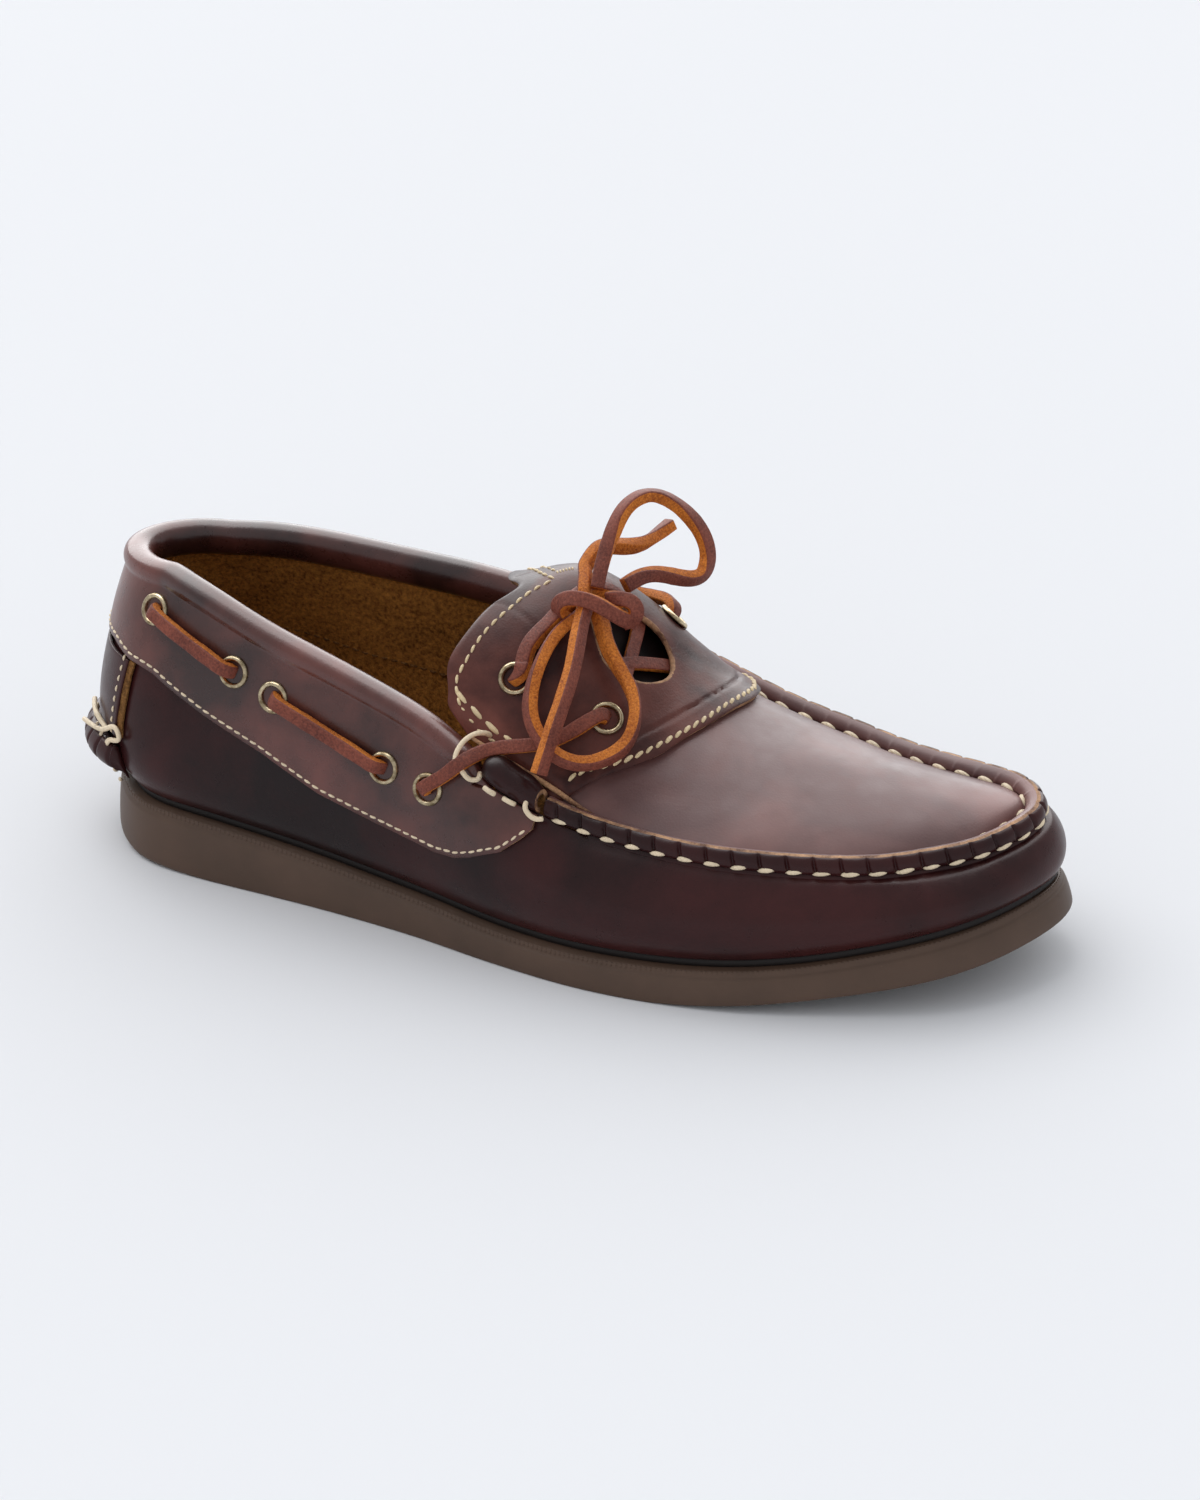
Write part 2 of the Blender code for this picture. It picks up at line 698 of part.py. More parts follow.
def build_outsole(rubber):
    """Wedge sole: flat rest, heel bevel, leaning sides and a stepped lip."""
    column = whole_ring()
    x = outline(column)[0][:, 0]
    bevel = EDGE_BREAK + (HEEL_BEVEL - EDGE_BREAK) * np.clip(1.0 - x / BEVEL_END, 0.0, 1.0)
    flare = np.interp(x, [0.0, 150.0, LENGTH], [FLARE_HEEL, 1.0, FLARE_TOE])
    top = sole_top(column)
    low = ring(column, bevel, sole_bottom(x))
    low[:, 2] = sole_bottom(low[:, 0])
    layers = [
        low,
        ring(column, 0.15 * bevel, sole_bottom(x) + 0.75 * bevel),
        ring(column, 0.7 * flare, top - LIP - LIP_STEP),
        ring(column, 0.7 * flare + LIP_STEP, top - LIP),
        ring(column, flare + LIP_STEP, top),
    ]
    return plate_solid("outsole", layers, rubber)


def build_midsole(rubber):
    """Thin dark band on the sole, set in from its edge."""
    column = whole_ring()
    top = sole_top(column)
    layers = [ring(column, 4.4, top + GAP), ring(column, 4.4, top + GAP + MIDSOLE)]
    return plate_solid("midsole", layers, rubber)


def build_insole(suede):
    """Footbed inside the upper's wall."""
    column = whole_ring()
    base = sole_top(column) + MIDSOLE + 2.0 * GAP
    inset = FEATHER_INSET + WALL + 0.9
    layers = [ring(column, inset, base), ring(column, inset - 0.2, base + INSOLE)]
    return plate_solid("insole", layers, suede)


def upper_skin(depth, start):
    """Points, faces and the two open borders of the upper's skin at a depth."""
    column = whole_ring()
    count = len(column)
    half = count // 2
    first = int(np.searchsorted(column, station(THROAT)))
    corner = int(np.searchsorted(column, station(THROAT_CORNER)))
    rows = [
        wall(column, rise) - wall_normal(column, rise) * depth
        for rise in np.linspace(0.0, 1.0, WALL_ROWS + 1)
    ]
    rows[0][:, 2] = wall(column, 0.0)[:, 2]
    rows[-1][corner : count - first + 1, 2] -= 0.5 * depth
    faces = []
    for k in range(WALL_ROWS):
        here = start + k * count
        for i in range(count):
            following = (i + 1) % count
            faces.append((here + i, here + following, here + count + following, here + count + i))
    points = list(rows)
    top = start + WALL_ROWS * count
    total = top + count
    lines = []
    across = np.linspace(-1.0, 1.0, PLUG_COLUMNS + 1)
    for i in range(first, half):
        points.append(instep_layer(np.full(len(across), column[i]), across, -depth))
        lines.append([top + i, *range(total, total + len(across)), top + count - i])
        total += len(across)
    points.append(plug_edge(column[half : half + 1]) - np.array([[0.0, 0.0, depth]]))
    tip = total
    total += 1
    strips = []
    for i in range(corner, first):
        points.append(instep_layer(np.full(2, column[i]), across[:2], -depth))
        strips.append([top + i, total, total + 1])
        total += 2
    for here, there in zip(strips, [*strips[1:], lines[0][:3]]):
        faces += [(here[k], there[k], there[k + 1], here[k + 1]) for k in range(2)]
    for here, there in zip(lines, lines[1:]):
        faces += [(here[k], there[k], there[k + 1], here[k + 1]) for k in range(len(here) - 1)]
    last = lines[-1]
    faces.append((last[0], top + half, tip, last[1]))
    faces.append((last[-2], tip, top + half, last[-1]))
    faces += [(last[k], tip, last[k + 1]) for k in range(1, len(last) - 2)]
    bottom = list(range(start, start + count))
    corner_edge = [*strips[0], *[row[2] for row in strips[1:]]]
    mouth = [*range(top + count - first, top + count), *range(top, top + corner), *corner_edge, *lines[0][2:-1]]
    return np.vstack(points), faces, (bottom, mouth)


def build_upper(leather):
    """Hollow upper: wall, ledge under the ridge, and plug, open at the collar,
    at the throat and underneath."""
    outer, faces, outer_borders = upper_skin(0.0, 0)
    inner, inner_faces, inner_borders = upper_skin(WALL, len(outer))
    faces += inner_faces
    for outside, inside in zip(outer_borders, inner_borders):
        for k in range(len(outside)):
            following = (k + 1) % len(outside)
            faces.append((outside[k], outside[following], inside[following], inside[k]))
    return add_solid("upper", np.vstack([outer, inner]), faces, leather)


TONGUE_FRONT = 186.0
TONGUE_BACK = 118.0
TONGUE_HALF = 0.66  # of the instep's width


def build_tongue(leather):
    """Tongue under the lace stay, lying on the last's instep."""
    column = columns(station(TONGUE_BACK), station(TONGUE_FRONT), 2)
    across = np.linspace(-TONGUE_HALF, TONGUE_HALF, 9)
    top = -(WALL + COVER_GAP + GAP)
    faces = []
    for height in (top, top - TONGUE_THICK):
        faces.append(
            np.array([instep_layer(np.full(len(across), here), across, height) for here in column])
        )
    return sheet_solid("tongue", faces[0], faces[1], leather)


def band_columns(front, dense_from, dense_to):
    """Columns from the medial front, round the heel, to the lateral front: every
    second one, but each one round the heel and in a stretch that is named."""
    last = math.floor(station(front) * COLUMNS_PER_STATION)
    dense = range(round(dense_from * COLUMNS_PER_STATION), round(dense_to * COLUMNS_PER_STATION) + 1)
    heel = range(HEEL_DENSE * COLUMNS_PER_STATION + 1)
    steps = sorted({*range(0, last, 2), last, *heel, *[i for i in dense if i <= last]})
    return np.array([-i for i in reversed(steps)] + steps[1:]) / COLUMNS_PER_STATION


def build_collar_band(leather):
    """Flat band on the outside of the wall, under the eyelets."""
    rings = []
    for column in band_columns(BAND_FRONT, LOBE_BACK, SIDE):
        here = np.array([column])
        x = np.interp(abs(column), np.arange(SIDE + 1), STATION_X)
        edge = wall(here, 1.0)[0] - wall(here, 1.0 - ROLL_STEP)[0]
        length = np.linalg.norm(edge) / ROLL_STEP
        foot = np.interp(x, [ROLL_FRONT, ROLL_FRONT + 6.0], [ROLL_FOOT, 0.8])
        low = np.interp(x, [row.x for row in BAND], [row.rise for row in BAND])
        rise = np.linspace(low, 1.0 - foot / length, BAND_POINTS)
        place = np.full(BAND_POINTS, column)
        outside = wall_layer(place, rise, COVER_GAP + COLLAR_THICK)
        inside = wall_layer(place, rise[::-1], COVER_GAP)
        rings.append(np.vstack([outside, inside]))
    return swept_solid("collar_band", rings, leather)


def build_collar_roll(leather):
    """Padded roll over the collar's top edge."""
    rings = []
    for column in band_columns(ROLL_FRONT, 0, 0):
        here = np.array([column])
        top = wall(here, 1.0)[0]
        up = top - wall(here, 1.0 - ROLL_STEP)[0]
        length = np.linalg.norm(up) / ROLL_STEP
        up /= np.linalg.norm(up)
        place = np.full(len(ROLL), column)
        rise = [1.0 + min(row.up, 0.0) / length for row in ROLL]
        section = wall_layer(place, rise, [row.out for row in ROLL])
        rings.append([point + up * max(row.up, 0.0) for point, row in zip(section, ROLL)])
    return swept_solid("collar_roll", rings, leather)


def build_moc_ridge(leather):
    """Standing hand-sewn ridge round the plug, from side to side by the toe."""
    back = math.ceil(station(RIDGE_BACK) * COLUMNS_PER_STATION)
    toe = SIDE * COLUMNS_PER_STATION
    steps = sorted({back, *range(back + 1, toe - RIDGE_DENSE, 2), *range(toe - RIDGE_DENSE, toe + 1)})
    steps += [2 * toe - i for i in reversed(steps[:-1])]
    column = np.array(steps) / COLUMNS_PER_STATION
    top = wall(column, 1.0)
    inward = outline(column)[1]
    sections = [
        top + np.column_stack([inward * row.inward, np.full(len(top), row.up)]) for row in RIDGE
    ]
    return swept_solid("moc_ridge", np.stack(sections, axis=1), leather)


def build_tab_roll(side, leather):
    """Rolled end of the ridge, under the front lace: side is -1 lateral, 1 medial."""
    rings = []
    turns = np.linspace(0.0, 2.0 * math.pi, TAB_SIDES + 1)[:-1]
    for row in TAB:
        column = side_column(station(row.x), side)
        top = wall(column, 1.0)[0]
        inward = np.append(outline(column)[1][0], 0.0)
        centre = top + inward * TAB_INWARD + UP * (TAB_LIFT + row.radius)
        rings.append(
            [centre + row.radius * (math.cos(turn) * inward + math.sin(turn) * UP) for turn in turns]
        )
    return swept_solid(f"tab_roll_{SIDE_NAMES[side]}", rings, leather)


def build_heel_panel(leather):
    """Panel over the back seam."""
    column = columns(-HEEL_REACH, HEEL_REACH)
    skins = []
    for height in (COVER_GAP + HEEL_THICK, COVER_GAP):
        rows = [wall_layer(column, rise, height) for rise in HEEL_RISES]
        skins.append(np.stack(rows, axis=1))
    return sheet_solid("heel_panel", skins[0], skins[1], leather)


def build_heel_ridge(leather):
    """Puckered bead across the heel, at the foot of the panel."""
    rings = []
    for column in columns(-HEEL_REACH, HEEL_REACH):
        taper = 1.0 - 0.55 * abs(column / HEEL_REACH) ** 3
        place = np.full(len(BEAD), column)
        rise = np.array([row.rise for row in BEAD])
        height = np.array([COVER_GAP + row.out * taper for row in BEAD])
        rings.append(wall_layer(place, rise, height))
    return swept_solid("heel_ridge", rings, leather)


def build_lace_stay(leather):
    """Saddle over the instep with two wings and a keyhole opening."""
    share = np.linspace(0.0, 1.0, STAY_ROWS + 1)
    skins = []
    for height in (COVER_GAP + STAY_THICK, COVER_GAP):
        rows = []
        for row in STAY:
            place = station(row.rear + (row.front - row.rear) * share)
            rows.append(instep_layer(place, row.across, height))
        skins.append(np.array(rows))
    stay = sheet_solid("lace_stay", skins[0], skins[1], leather)
    knots = np.arange(len(KEYHOLE) + 1)
    shape = loop_spline(knots, [*KEYHOLE, KEYHOLE[0]], np.linspace(0.0, len(KEYHOLE), CUT_POINTS + 1)[:-1])
    rings = [instep_layer(station(shape[:, 0]), shape[:, 1], height) for height in (-1.0, 4.0)]
    cutter = swept_solid("keyhole_cutter", rings, leather)
    cut_with(stay, cutter, "DIFFERENCE")
    return stay


def side_column(column, side):
    """Column of a station on the lateral (-1) or medial (1) side, as an array."""
    return np.array([column if side < 0 else RING - column], float)


def eyelet_solid(name, centre, normal, metal):
    """Flat metal ring whose underside lies at the centre."""
    axis = normal / np.linalg.norm(normal)
    first = np.cross(axis, UP)
    first /= np.linalg.norm(first)
    second = np.cross(axis, first)
    crown = (EYELET_BORE + EYELET_RADIUS) / 2.0
    profile = ((EYELET_BORE, 0.0), (EYELET_RADIUS, 0.0), (crown, EYELET_THICK))
    rings = []
    for turn in np.linspace(0.0, 2.0 * math.pi, EYELET_SIDES + 1)[:-1]:
        spoke = math.cos(turn) * first + math.sin(turn) * second
        rings.append([centre + spoke * radius + axis * height for radius, height in profile])
    return swept_solid(name, rings, metal, closed=True)


def collar_point(row, side, height):
    """Point over a collar eyelet's centre and the wall's normal there."""
    column = side_column(station(row.x), side)
    return wall_layer(column, row.rise, height)[0], wall_normal(column, row.rise)[0]


def stay_point(row, side, height):
    """Point over a stay eyelet's centre and the instep's normal there."""
    column = station(row.x)
    across = side * row.across
    return instep_layer(column, across, height)[0], instep_normal(column, across)[0]


def build_eyelets(side, metal):
    """Five eyelets in the collar and two in the stay, on one side."""
    seat = COVER_GAP + COLLAR_THICK + GAP
    for number, row in enumerate(COLLAR_EYELETS, start=1):
        centre, normal = collar_point(row, side, seat)
        eyelet_solid(f"eyelet_{SIDE_NAMES[side]}_{number}", centre, normal, metal)
    seat = COVER_GAP + STAY_THICK + GAP
    for row in STAY_EYELETS:
        centre, normal = stay_point(row, side, seat)
        eyelet_solid(f"eyelet_stay_{SIDE_NAMES[side]}_{row.place}", centre, normal, metal)


def strap_solid(name, route, normals, thick, leather):
    """Flat strap along a route, lying square to the normals."""
    route = np.asarray(route, float)
    normals = np.asarray(normals, float)
    normals = normals / np.linalg.norm(normals, axis=1, keepdims=True)
    tangent = np.gradient(route, axis=0)
    side = np.cross(tangent, normals)
    side /= np.linalg.norm(side, axis=1, keepdims=True)
    corners = ((-1.0, -1.0), (1.0, -1.0), (1.0, 1.0), (-1.0, 1.0))
    sections = [route + side * a * LACE_WIDTH / 2.0 + normals * b * thick / 2.0 for a, b in corners]
    return swept_solid(name, np.stack(sections, axis=1), leather)


def build_lace_runs(side, leather):
    """Lace outside the collar: two runs between eyelets and one to the stay."""
    high = COVER_GAP + COLLAR_THICK + GAP + EYELET_THICK + COVER_GAP + LACE_THICK / 2.0
    share = np.linspace(0.0, 1.0, RUN_POINTS)
    for name, (first, last) in {"rear": COLLAR_EYELETS[0:2], "middle": COLLAR_EYELETS[2:4]}.items():
        x = first.x + (last.x - first.x) * share
        rise = first.rise + (last.rise - first.rise) * share
        column = station(x) if side < 0 else RING - station(x)
        height = high - RUN_SAG * np.sin(math.pi * share)
        route = wall_layer(column, rise, height)
        normals = wall_normal(column, rise)
        strap_solid(f"lace_run_{SIDE_NAMES[side]}_{name}", route, normals, LACE_THICK, leather)
    start, start_normal = collar_point(COLLAR_EYELETS[-1], side, high + RUN_LIFT)
    high = COVER_GAP + STAY_THICK + GAP + EYELET_THICK + COVER_GAP + LACE_THICK / 2.0
    end, end_normal = stay_point(STAY_EYELETS[0], side, high + RUN_LIFT)
    bends = []
    for row in OVER_TAB:
        column = side_column(station(row.x), side)
        bends.append(wall(column, 1.0)[0] + np.append(outline(column)[1][0] * row.inward, row.up))
    for row in OVER_STAY:
        bends.append(instep_layer(station(row.x), side * row.across, row.height)[0])
    knots = [start, *bends, end]
    lengths = np.concatenate([[0.0], np.cumsum(np.linalg.norm(np.diff(knots, axis=0), axis=1))])
    at = np.linspace(0.0, lengths[-1], RUN_POINTS)
    route = natural_spline(lengths, knots, at)
    part = (at / at[-1])[:, None]
    normals = start_normal * (1.0 - part) + end_normal * part
    strap_solid(f"lace_run_{SIDE_NAMES[side]}_front", route, normals, LACE_THICK, leather)


def build_lace_bars(leather):
    """Lace across the throat under the stay: a bar and a slanted crossing, joined."""
    joined = []
    for name, row in {"lace_bars": BARS[0], "bar_cutter": BARS[1]}.items():
        x = np.linspace(row.x_from, row.x_to, BAR_POINTS)
        across = np.linspace(row.across_from, row.across_to, BAR_POINTS)
        route = instep_layer(station(x), across, row.height)
        joined.append(strap_solid(name, route, instep_normal(station(x), across), row.thick, leather))
    cut_with(joined[0], joined[1], "UNION")


def cut_with(item, tool, operation):
    """Cut an object with a tool, or join the tool to it."""
    change = item.modifiers.new("shape", "BOOLEAN")
    change.operation = operation
    change.solver = "EXACT"
    change.object = tool
    tool.hide_render = True
    tool.display_type = "WIRE"


def build_cord(name, route, leather):
    """Free lace: a round cord on a smooth curve through its route."""
    route = np.asarray(route, float)
    lengths = np.concatenate([[0.0], np.cumsum(np.linalg.norm(np.diff(route, axis=0), axis=1))])
    count = max(6, int(lengths[-1] / CORD_STEP))
    smooth = to_world(natural_spline(lengths, route, np.linspace(0.0, lengths[-1], count)))
    curve = bpy.data.curves.new(name, "CURVE")
    curve.dimensions = "3D"
    curve.bevel_depth = LACE_ROUND / 2.0 * MM
    curve.bevel_resolution = 2
    curve.use_fill_caps = True
    spline = curve.splines.new("POLY")
    spline.points.add(len(smooth) - 1)
    for point, place in zip(spline.points, smooth):
        point.co = (*place, 1.0)
    curve.materials.append(leather)
    item = bpy.data.objects.new(name, curve)
    bpy.context.scene.collection.objects.link(item)


def clear_scene():
    """Remove whatever the file opened with."""
    for item in list(bpy.data.objects):
        bpy.data.objects.remove(item, do_unlink=True)


def build():
    """Build every piece of the shoe."""
    clear_scene()
    rubber = material("dark_taupe_rubber", (0.075, 0.052, 0.042), 0.55)
    band = material("dark_rubber_band", (0.02, 0.014, 0.012), 0.6)
    leather = material("burgundy_brown_leather", (0.035, 0.016, 0.015), 0.35)
    collar = material("red_brown_leather", (0.07, 0.032, 0.028), 0.45)
    suede = material("brown_suede", (0.09, 0.045, 0.015), 0.95)
    rawhide = material("brown_rawhide_lace", (0.16, 0.05, 0.03), 0.6)
    brass = material("antique_brass", (0.33, 0.27, 0.17), 0.35, 1.0)
    build_outsole(rubber)
    build_midsole(band)
    build_insole(suede)
    build_upper(leather)
    build_tongue(leather)
    build_moc_ridge(leather)
    build_lace_stay(leather)
    build_collar_band(collar)
    build_collar_roll(collar)
    build_heel_panel(leather)
    build_heel_ridge(leather)
    for side in SIDE_NAMES:
        build_tab_roll(side, leather)
        build_eyelets(side, brass)
        build_lace_runs(side, rawhide)
    build_lace_bars(rawhide)
    for name, route in CORDS.items():
        build_cord(name, route, rawhide)


build()
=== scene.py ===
"""Moc toe loafer, right foot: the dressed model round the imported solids.

Frame: metres, +X to the toe, +Y to the inner (medial) side, +Z up, with the origin
on the floor half way along the sole.  The classes work in millimetres counted from
the back of the heel, as a last is measured, and meshes are turned to metres last.
"""
import logging
import math
from dataclasses import dataclass, field
from enum import Enum
from functools import cache
from typing import NamedTuple, Sequence

import bmesh
import bpy
import numpy as np
from mathutils import Matrix, Vector


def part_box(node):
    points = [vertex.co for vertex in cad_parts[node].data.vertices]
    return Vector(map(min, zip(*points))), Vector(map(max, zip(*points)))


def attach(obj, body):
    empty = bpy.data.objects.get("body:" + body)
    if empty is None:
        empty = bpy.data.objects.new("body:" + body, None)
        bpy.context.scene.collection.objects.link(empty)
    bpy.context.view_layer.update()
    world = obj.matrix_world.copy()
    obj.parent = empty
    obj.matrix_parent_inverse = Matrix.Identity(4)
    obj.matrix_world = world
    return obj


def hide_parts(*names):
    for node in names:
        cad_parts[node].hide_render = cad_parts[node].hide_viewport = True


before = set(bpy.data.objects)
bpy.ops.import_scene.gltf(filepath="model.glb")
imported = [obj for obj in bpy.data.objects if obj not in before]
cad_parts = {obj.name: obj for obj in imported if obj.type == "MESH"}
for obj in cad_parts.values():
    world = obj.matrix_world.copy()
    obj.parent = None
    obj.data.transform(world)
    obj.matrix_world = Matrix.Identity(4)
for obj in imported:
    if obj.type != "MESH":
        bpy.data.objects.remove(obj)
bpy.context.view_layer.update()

MM = 0.001
BODY = "root"
HALF_LENGTH = -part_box("outsole")[0][0] / MM
LENGTH = 2.0 * HALF_LENGTH
UP = np.array([0.0, 0.0, 1.0])
LOG = logging.getLogger("loafer")

Points = np.ndarray
Face = tuple[int, ...]
Tone = tuple[float, float, float]
Table = Sequence[Sequence[float]]
Piece = bpy.types.Object
Socket = bpy.types.NodeSocket


class Side(Enum):
    """The two long sides of a right shoe."""

    LATERAL = -1
    MEDIAL = 1


# ---- the last
class SoleRow(NamedTuple):
    """Half widths and top edge height of the sole at a section."""

    x: float
    lateral: float
    medial: float
    top: float


class WallRow(NamedTuple):
    """Insets from the sole's edge and heights of the wall's three levels."""

    x: float
    low_in: float
    low_z: float
    mid_in: float
    mid_z: float
    top_in: float
    top_z: float


class CrestRow(NamedTuple):
    """Top of the instep's arch at a station, and how square the arch is."""

    station: float
    x: float
    y: float
    z: float
    fullness: float


SOLE = tuple(SoleRow(*row) for row in (
    (0.0, 0.0, 0.0, 19.8),
    (6.5, 20.6, 20.0, 19.6),
    (19.0, 33.0, 32.2, 19.2),
    (40.0, 37.7, 36.7, 18.5),
    (60.0, 39.0, 36.6, 17.1),
    (80.0, 40.4, 35.2, 15.3),
    (100.0, 42.6, 33.6, 13.3),
    (120.0, 45.7, 34.0, 11.6),
    (135.0, 48.9, 36.0, 10.5),
    (150.0, 51.6, 39.5, 9.9),
    (165.0, 53.6, 43.7, 9.9),
    (180.0, 54.2, 47.6, 10.3),
    (200.0, 52.8, 51.2, 11.1),
    (218.0, 49.6, 52.5, 12.5),
    (235.0, 44.3, 51.5, 14.6),
    (255.0, 36.4, 47.6, 18.5),
    (270.0, 28.6, 42.6, 21.8),
    (282.0, 17.6, 36.2, 24.2),
    (290.0, 4.8, 28.6, 25.8),
    (295.0, -14.8, 14.8, 26.8),
))
LATERAL = tuple(WallRow(*row) for row in (
    (0.0, -3.2, 38.0, -0.6, 60.0, 6.5, 86.5),
    (6.5, -2.6, 38.0, 0.6, 60.0, 10.0, 87.5),
    (19.0, -1.2, 37.0, 3.6, 60.0, 14.5, 88.5),
    (40.0, -0.6, 36.0, 3.6, 58.0, 11.6, 86.5),
    (60.0, -0.6, 34.0, 2.4, 55.0, 8.6, 81.0),
    (80.0, -0.8, 32.0, 1.2, 52.0, 7.0, 76.0),
    (100.0, -1.0, 30.0, 0.5, 49.0, 6.2, 71.0),
    (120.0, -1.0, 28.0, 0.2, 45.0, 5.8, 64.5),
    (135.0, -1.0, 26.0, 0.2, 41.0, 5.8, 57.0),
    (150.0, -0.9, 25.0, 0.8, 37.0, 7.2, 50.5),
    (165.0, -0.8, 24.0, 1.4, 34.5, 8.6, 46.5),
    (180.0, -0.7, 23.5, 1.6, 33.5, 8.4, 45.0),
    (200.0, -0.7, 23.5, 1.4, 33.0, 7.2, 43.8),
    (218.0, -0.7, 24.5, 1.2, 33.5, 7.0, 43.0),
    (235.0, -0.6, 26.5, 1.2, 34.5, 6.8, 42.4),
    (255.0, -0.4, 29.0, 1.6, 36.0, 7.4, 42.0),
    (270.0, -0.1, 31.5, 2.0, 37.5, 9.2, 42.5),
    (282.0, 0.6, 33.0, 2.7, 38.8, 8.8, 43.2),
    (290.0, 1.5, 34.0, 3.3, 39.8, 8.4, 44.2),
    (295.0, 2.2, 34.8, 3.9, 40.6, 8.4, 45.4),
))
MEDIAL = tuple(WallRow(*row) for row in (
    (0.0, -3.2, 38.0, -0.6, 60.0, 6.5, 86.5),
    (6.5, -2.6, 38.0, 0.6, 60.0, 10.0, 86.0),
    (19.0, -1.2, 37.5, 3.4, 60.0, 14.0, 85.5),
    (40.0, -0.6, 37.0, 3.4, 60.0, 10.8, 84.5),
    (60.0, -0.8, 36.0, 1.8, 59.0, 6.4, 82.5),
    (80.0, -1.5, 35.0, -0.8, 58.0, 1.8, 80.0),
    (100.0, -2.8, 33.0, -3.4, 56.0, -2.6, 77.5),
    (120.0, -3.6, 31.0, -5.0, 53.0, -5.0, 74.0),
    (135.0, -3.8, 29.5, -5.2, 50.0, -5.6, 71.0),
    (150.0, -3.2, 28.0, -4.2, 47.5, -4.0, 66.5),
    (165.0, -2.0, 27.0, -2.2, 44.5, -1.0, 61.0),
    (180.0, -1.0, 26.5, 0.2, 42.0, 3.0, 55.5),
    (200.0, -0.4, 26.5, 2.2, 39.0, 8.2, 50.0),
    (218.0, -0.1, 27.0, 3.2, 38.0, 10.8, 47.2),
    (235.0, 0.1, 28.5, 4.2, 38.5, 13.2, 45.8),
    (255.0, 0.4, 30.5, 4.8, 39.5, 13.8, 45.8),
    (270.0, 0.6, 32.5, 4.4, 40.0, 12.0, 46.2),
    (282.0, 1.2, 33.5, 4.0, 40.3, 9.8, 46.4),
    (290.0, 1.9, 34.3, 4.0, 40.6, 9.0, 46.0),
    (295.0, 2.2, 34.8, 3.9, 40.6, 8.4, 45.4),
))
CREST = tuple(CrestRow(*row) for row in (
    (112.0, 130.0, -2.0, 95.0, 2.0),
    (128.0, 144.5, 1.5, 98.0, 2.2),
    (138.0, 152.0, 3.2, 94.2, 2.4),
    (150.0, 161.0, 4.5, 86.2, 2.7),
    (165.0, 172.0, 3.5, 76.6, 2.6),
    (180.0, 185.0, 1.6, 67.8, 2.2),
    (200.0, 203.0, 1.0, 61.8, 2.1),
    (218.0, 219.5, 0.8, 58.6, 2.0),
    (235.0, 234.5, 1.0, 56.2, 2.0),
    (255.0, 252.0, 2.4, 54.0, 2.0),
    (270.0, 263.5, 4.6, 52.6, 2.0),
    (282.0, 273.0, 8.0, 51.2, 2.0),
    (290.0, 278.6, 11.6, 50.0, 2.0),
))
STATIONS = len(SOLE) - 1
RING = 2 * STATIONS


def spline_values(knots: Points, values: Points, bends: Points, at: Points) -> Points:
    """Evaluate a cubic spline from its second derivatives.

    Args:
        knots: Increasing parameters.
        values: One row a knot.
        bends: Second derivatives at the knots.
        at: Parameters to evaluate.

    Returns:
        One row for each parameter.
    """
    at = np.atleast_1d(np.asarray(at, float))
    i = np.clip(np.searchsorted(knots, at, side="right") - 1, 0, len(knots) - 2)
    step = (knots[i + 1] - knots[i])[:, None]
    ahead = (knots[i + 1][:, None] - at[:, None]) / step
    behind = 1.0 - ahead
    bend = (ahead**3 - ahead) * bends[i] + (behind**3 - behind) * bends[i + 1]
    return ahead * values[i] + behind * values[i + 1] + bend * step**2 / 6.0


def spline_bends(knots: Points, values: Points, closed: bool) -> Points:
    """Second derivatives of a cubic at its knots.

    Args:
        knots: Increasing parameters.
        values: One row a knot.
        closed: Whether the last knot repeats the first; if not, the ends are free.

    Returns:
        One row a knot.
    """
    steps = np.diff(knots)
    rises = np.diff(values, axis=0) / steps[:, None]
    count = len(steps) if closed else len(knots)
    matrix = np.zeros((count, count))
    right = np.zeros((count, values.shape[1]))
    for i in range(0 if closed else 1, len(steps)):
        before, after = steps[i - 1], steps[i]
        matrix[i, i - 1] += before
        matrix[i, i] += 2.0 * (before + after)
        matrix[i, (i + 1) % count] += after
        right[i] = 6.0 * (rises[i] - rises[i - 1])
    if not closed:
        matrix[0, 0] = matrix[-1, -1] = 1.0
    bends = np.linalg.solve(matrix, right)
    return np.vstack([bends, bends[:1]]) if closed else bends


def natural_spline(knots: Sequence[float], values: Sequence, at: Points) -> Points:
    """Cubic through the knots with free ends, one row for each parameter."""
    knots, values = np.asarray(knots, float), np.asarray(values, float).reshape(len(knots), -1)
    return spline_values(knots, values, spline_bends(knots, values, False), at)


def smooth_table(table: Table, count: int) -> Points:
    """Rows along a smooth curve through a table's rows, evenly from first to last."""
    knots = np.arange(len(table))
    return natural_spline(knots, table, np.linspace(0.0, knots[-1], count))


class Loop:
    """Closed cubic curve or quantity round the sole, by arc position."""

    def __init__(self, knots: Points, values: Points) -> None:
        """Solve the spline once.

        Args:
            knots: Arc positions over one turn.
            values: One row a knot, the last one repeating the first.
        """
        self.knots = knots
        self.values = np.asarray(values, float).reshape(len(knots), -1)
        self.bends = spline_bends(knots, self.values, True)

    def at(self, arc: Points) -> Points:
        """Rows at arc positions, which may lie outside the turn."""
        return spline_values(self.knots, self.values, self.bends, np.mod(arc, self.knots[-1]))


def ring_rows(lateral: Sequence, medial: Sequence) -> Points:
    """Lateral and medial rows in ring order: heel, lateral, toe, medial, heel."""
    return np.array([*lateral, *list(medial)[-2:0:-1], lateral[0]], float)


def unit(vectors: Points) -> Points:
    """Vectors of length one, row by row."""
    return vectors / np.linalg.norm(vectors, axis=-1, keepdims=True)


def filled(value: Points | float, like: Points) -> Points:
    """One value for each row of an array."""
    return np.broadcast_to(np.asarray(value, float), (len(like),))


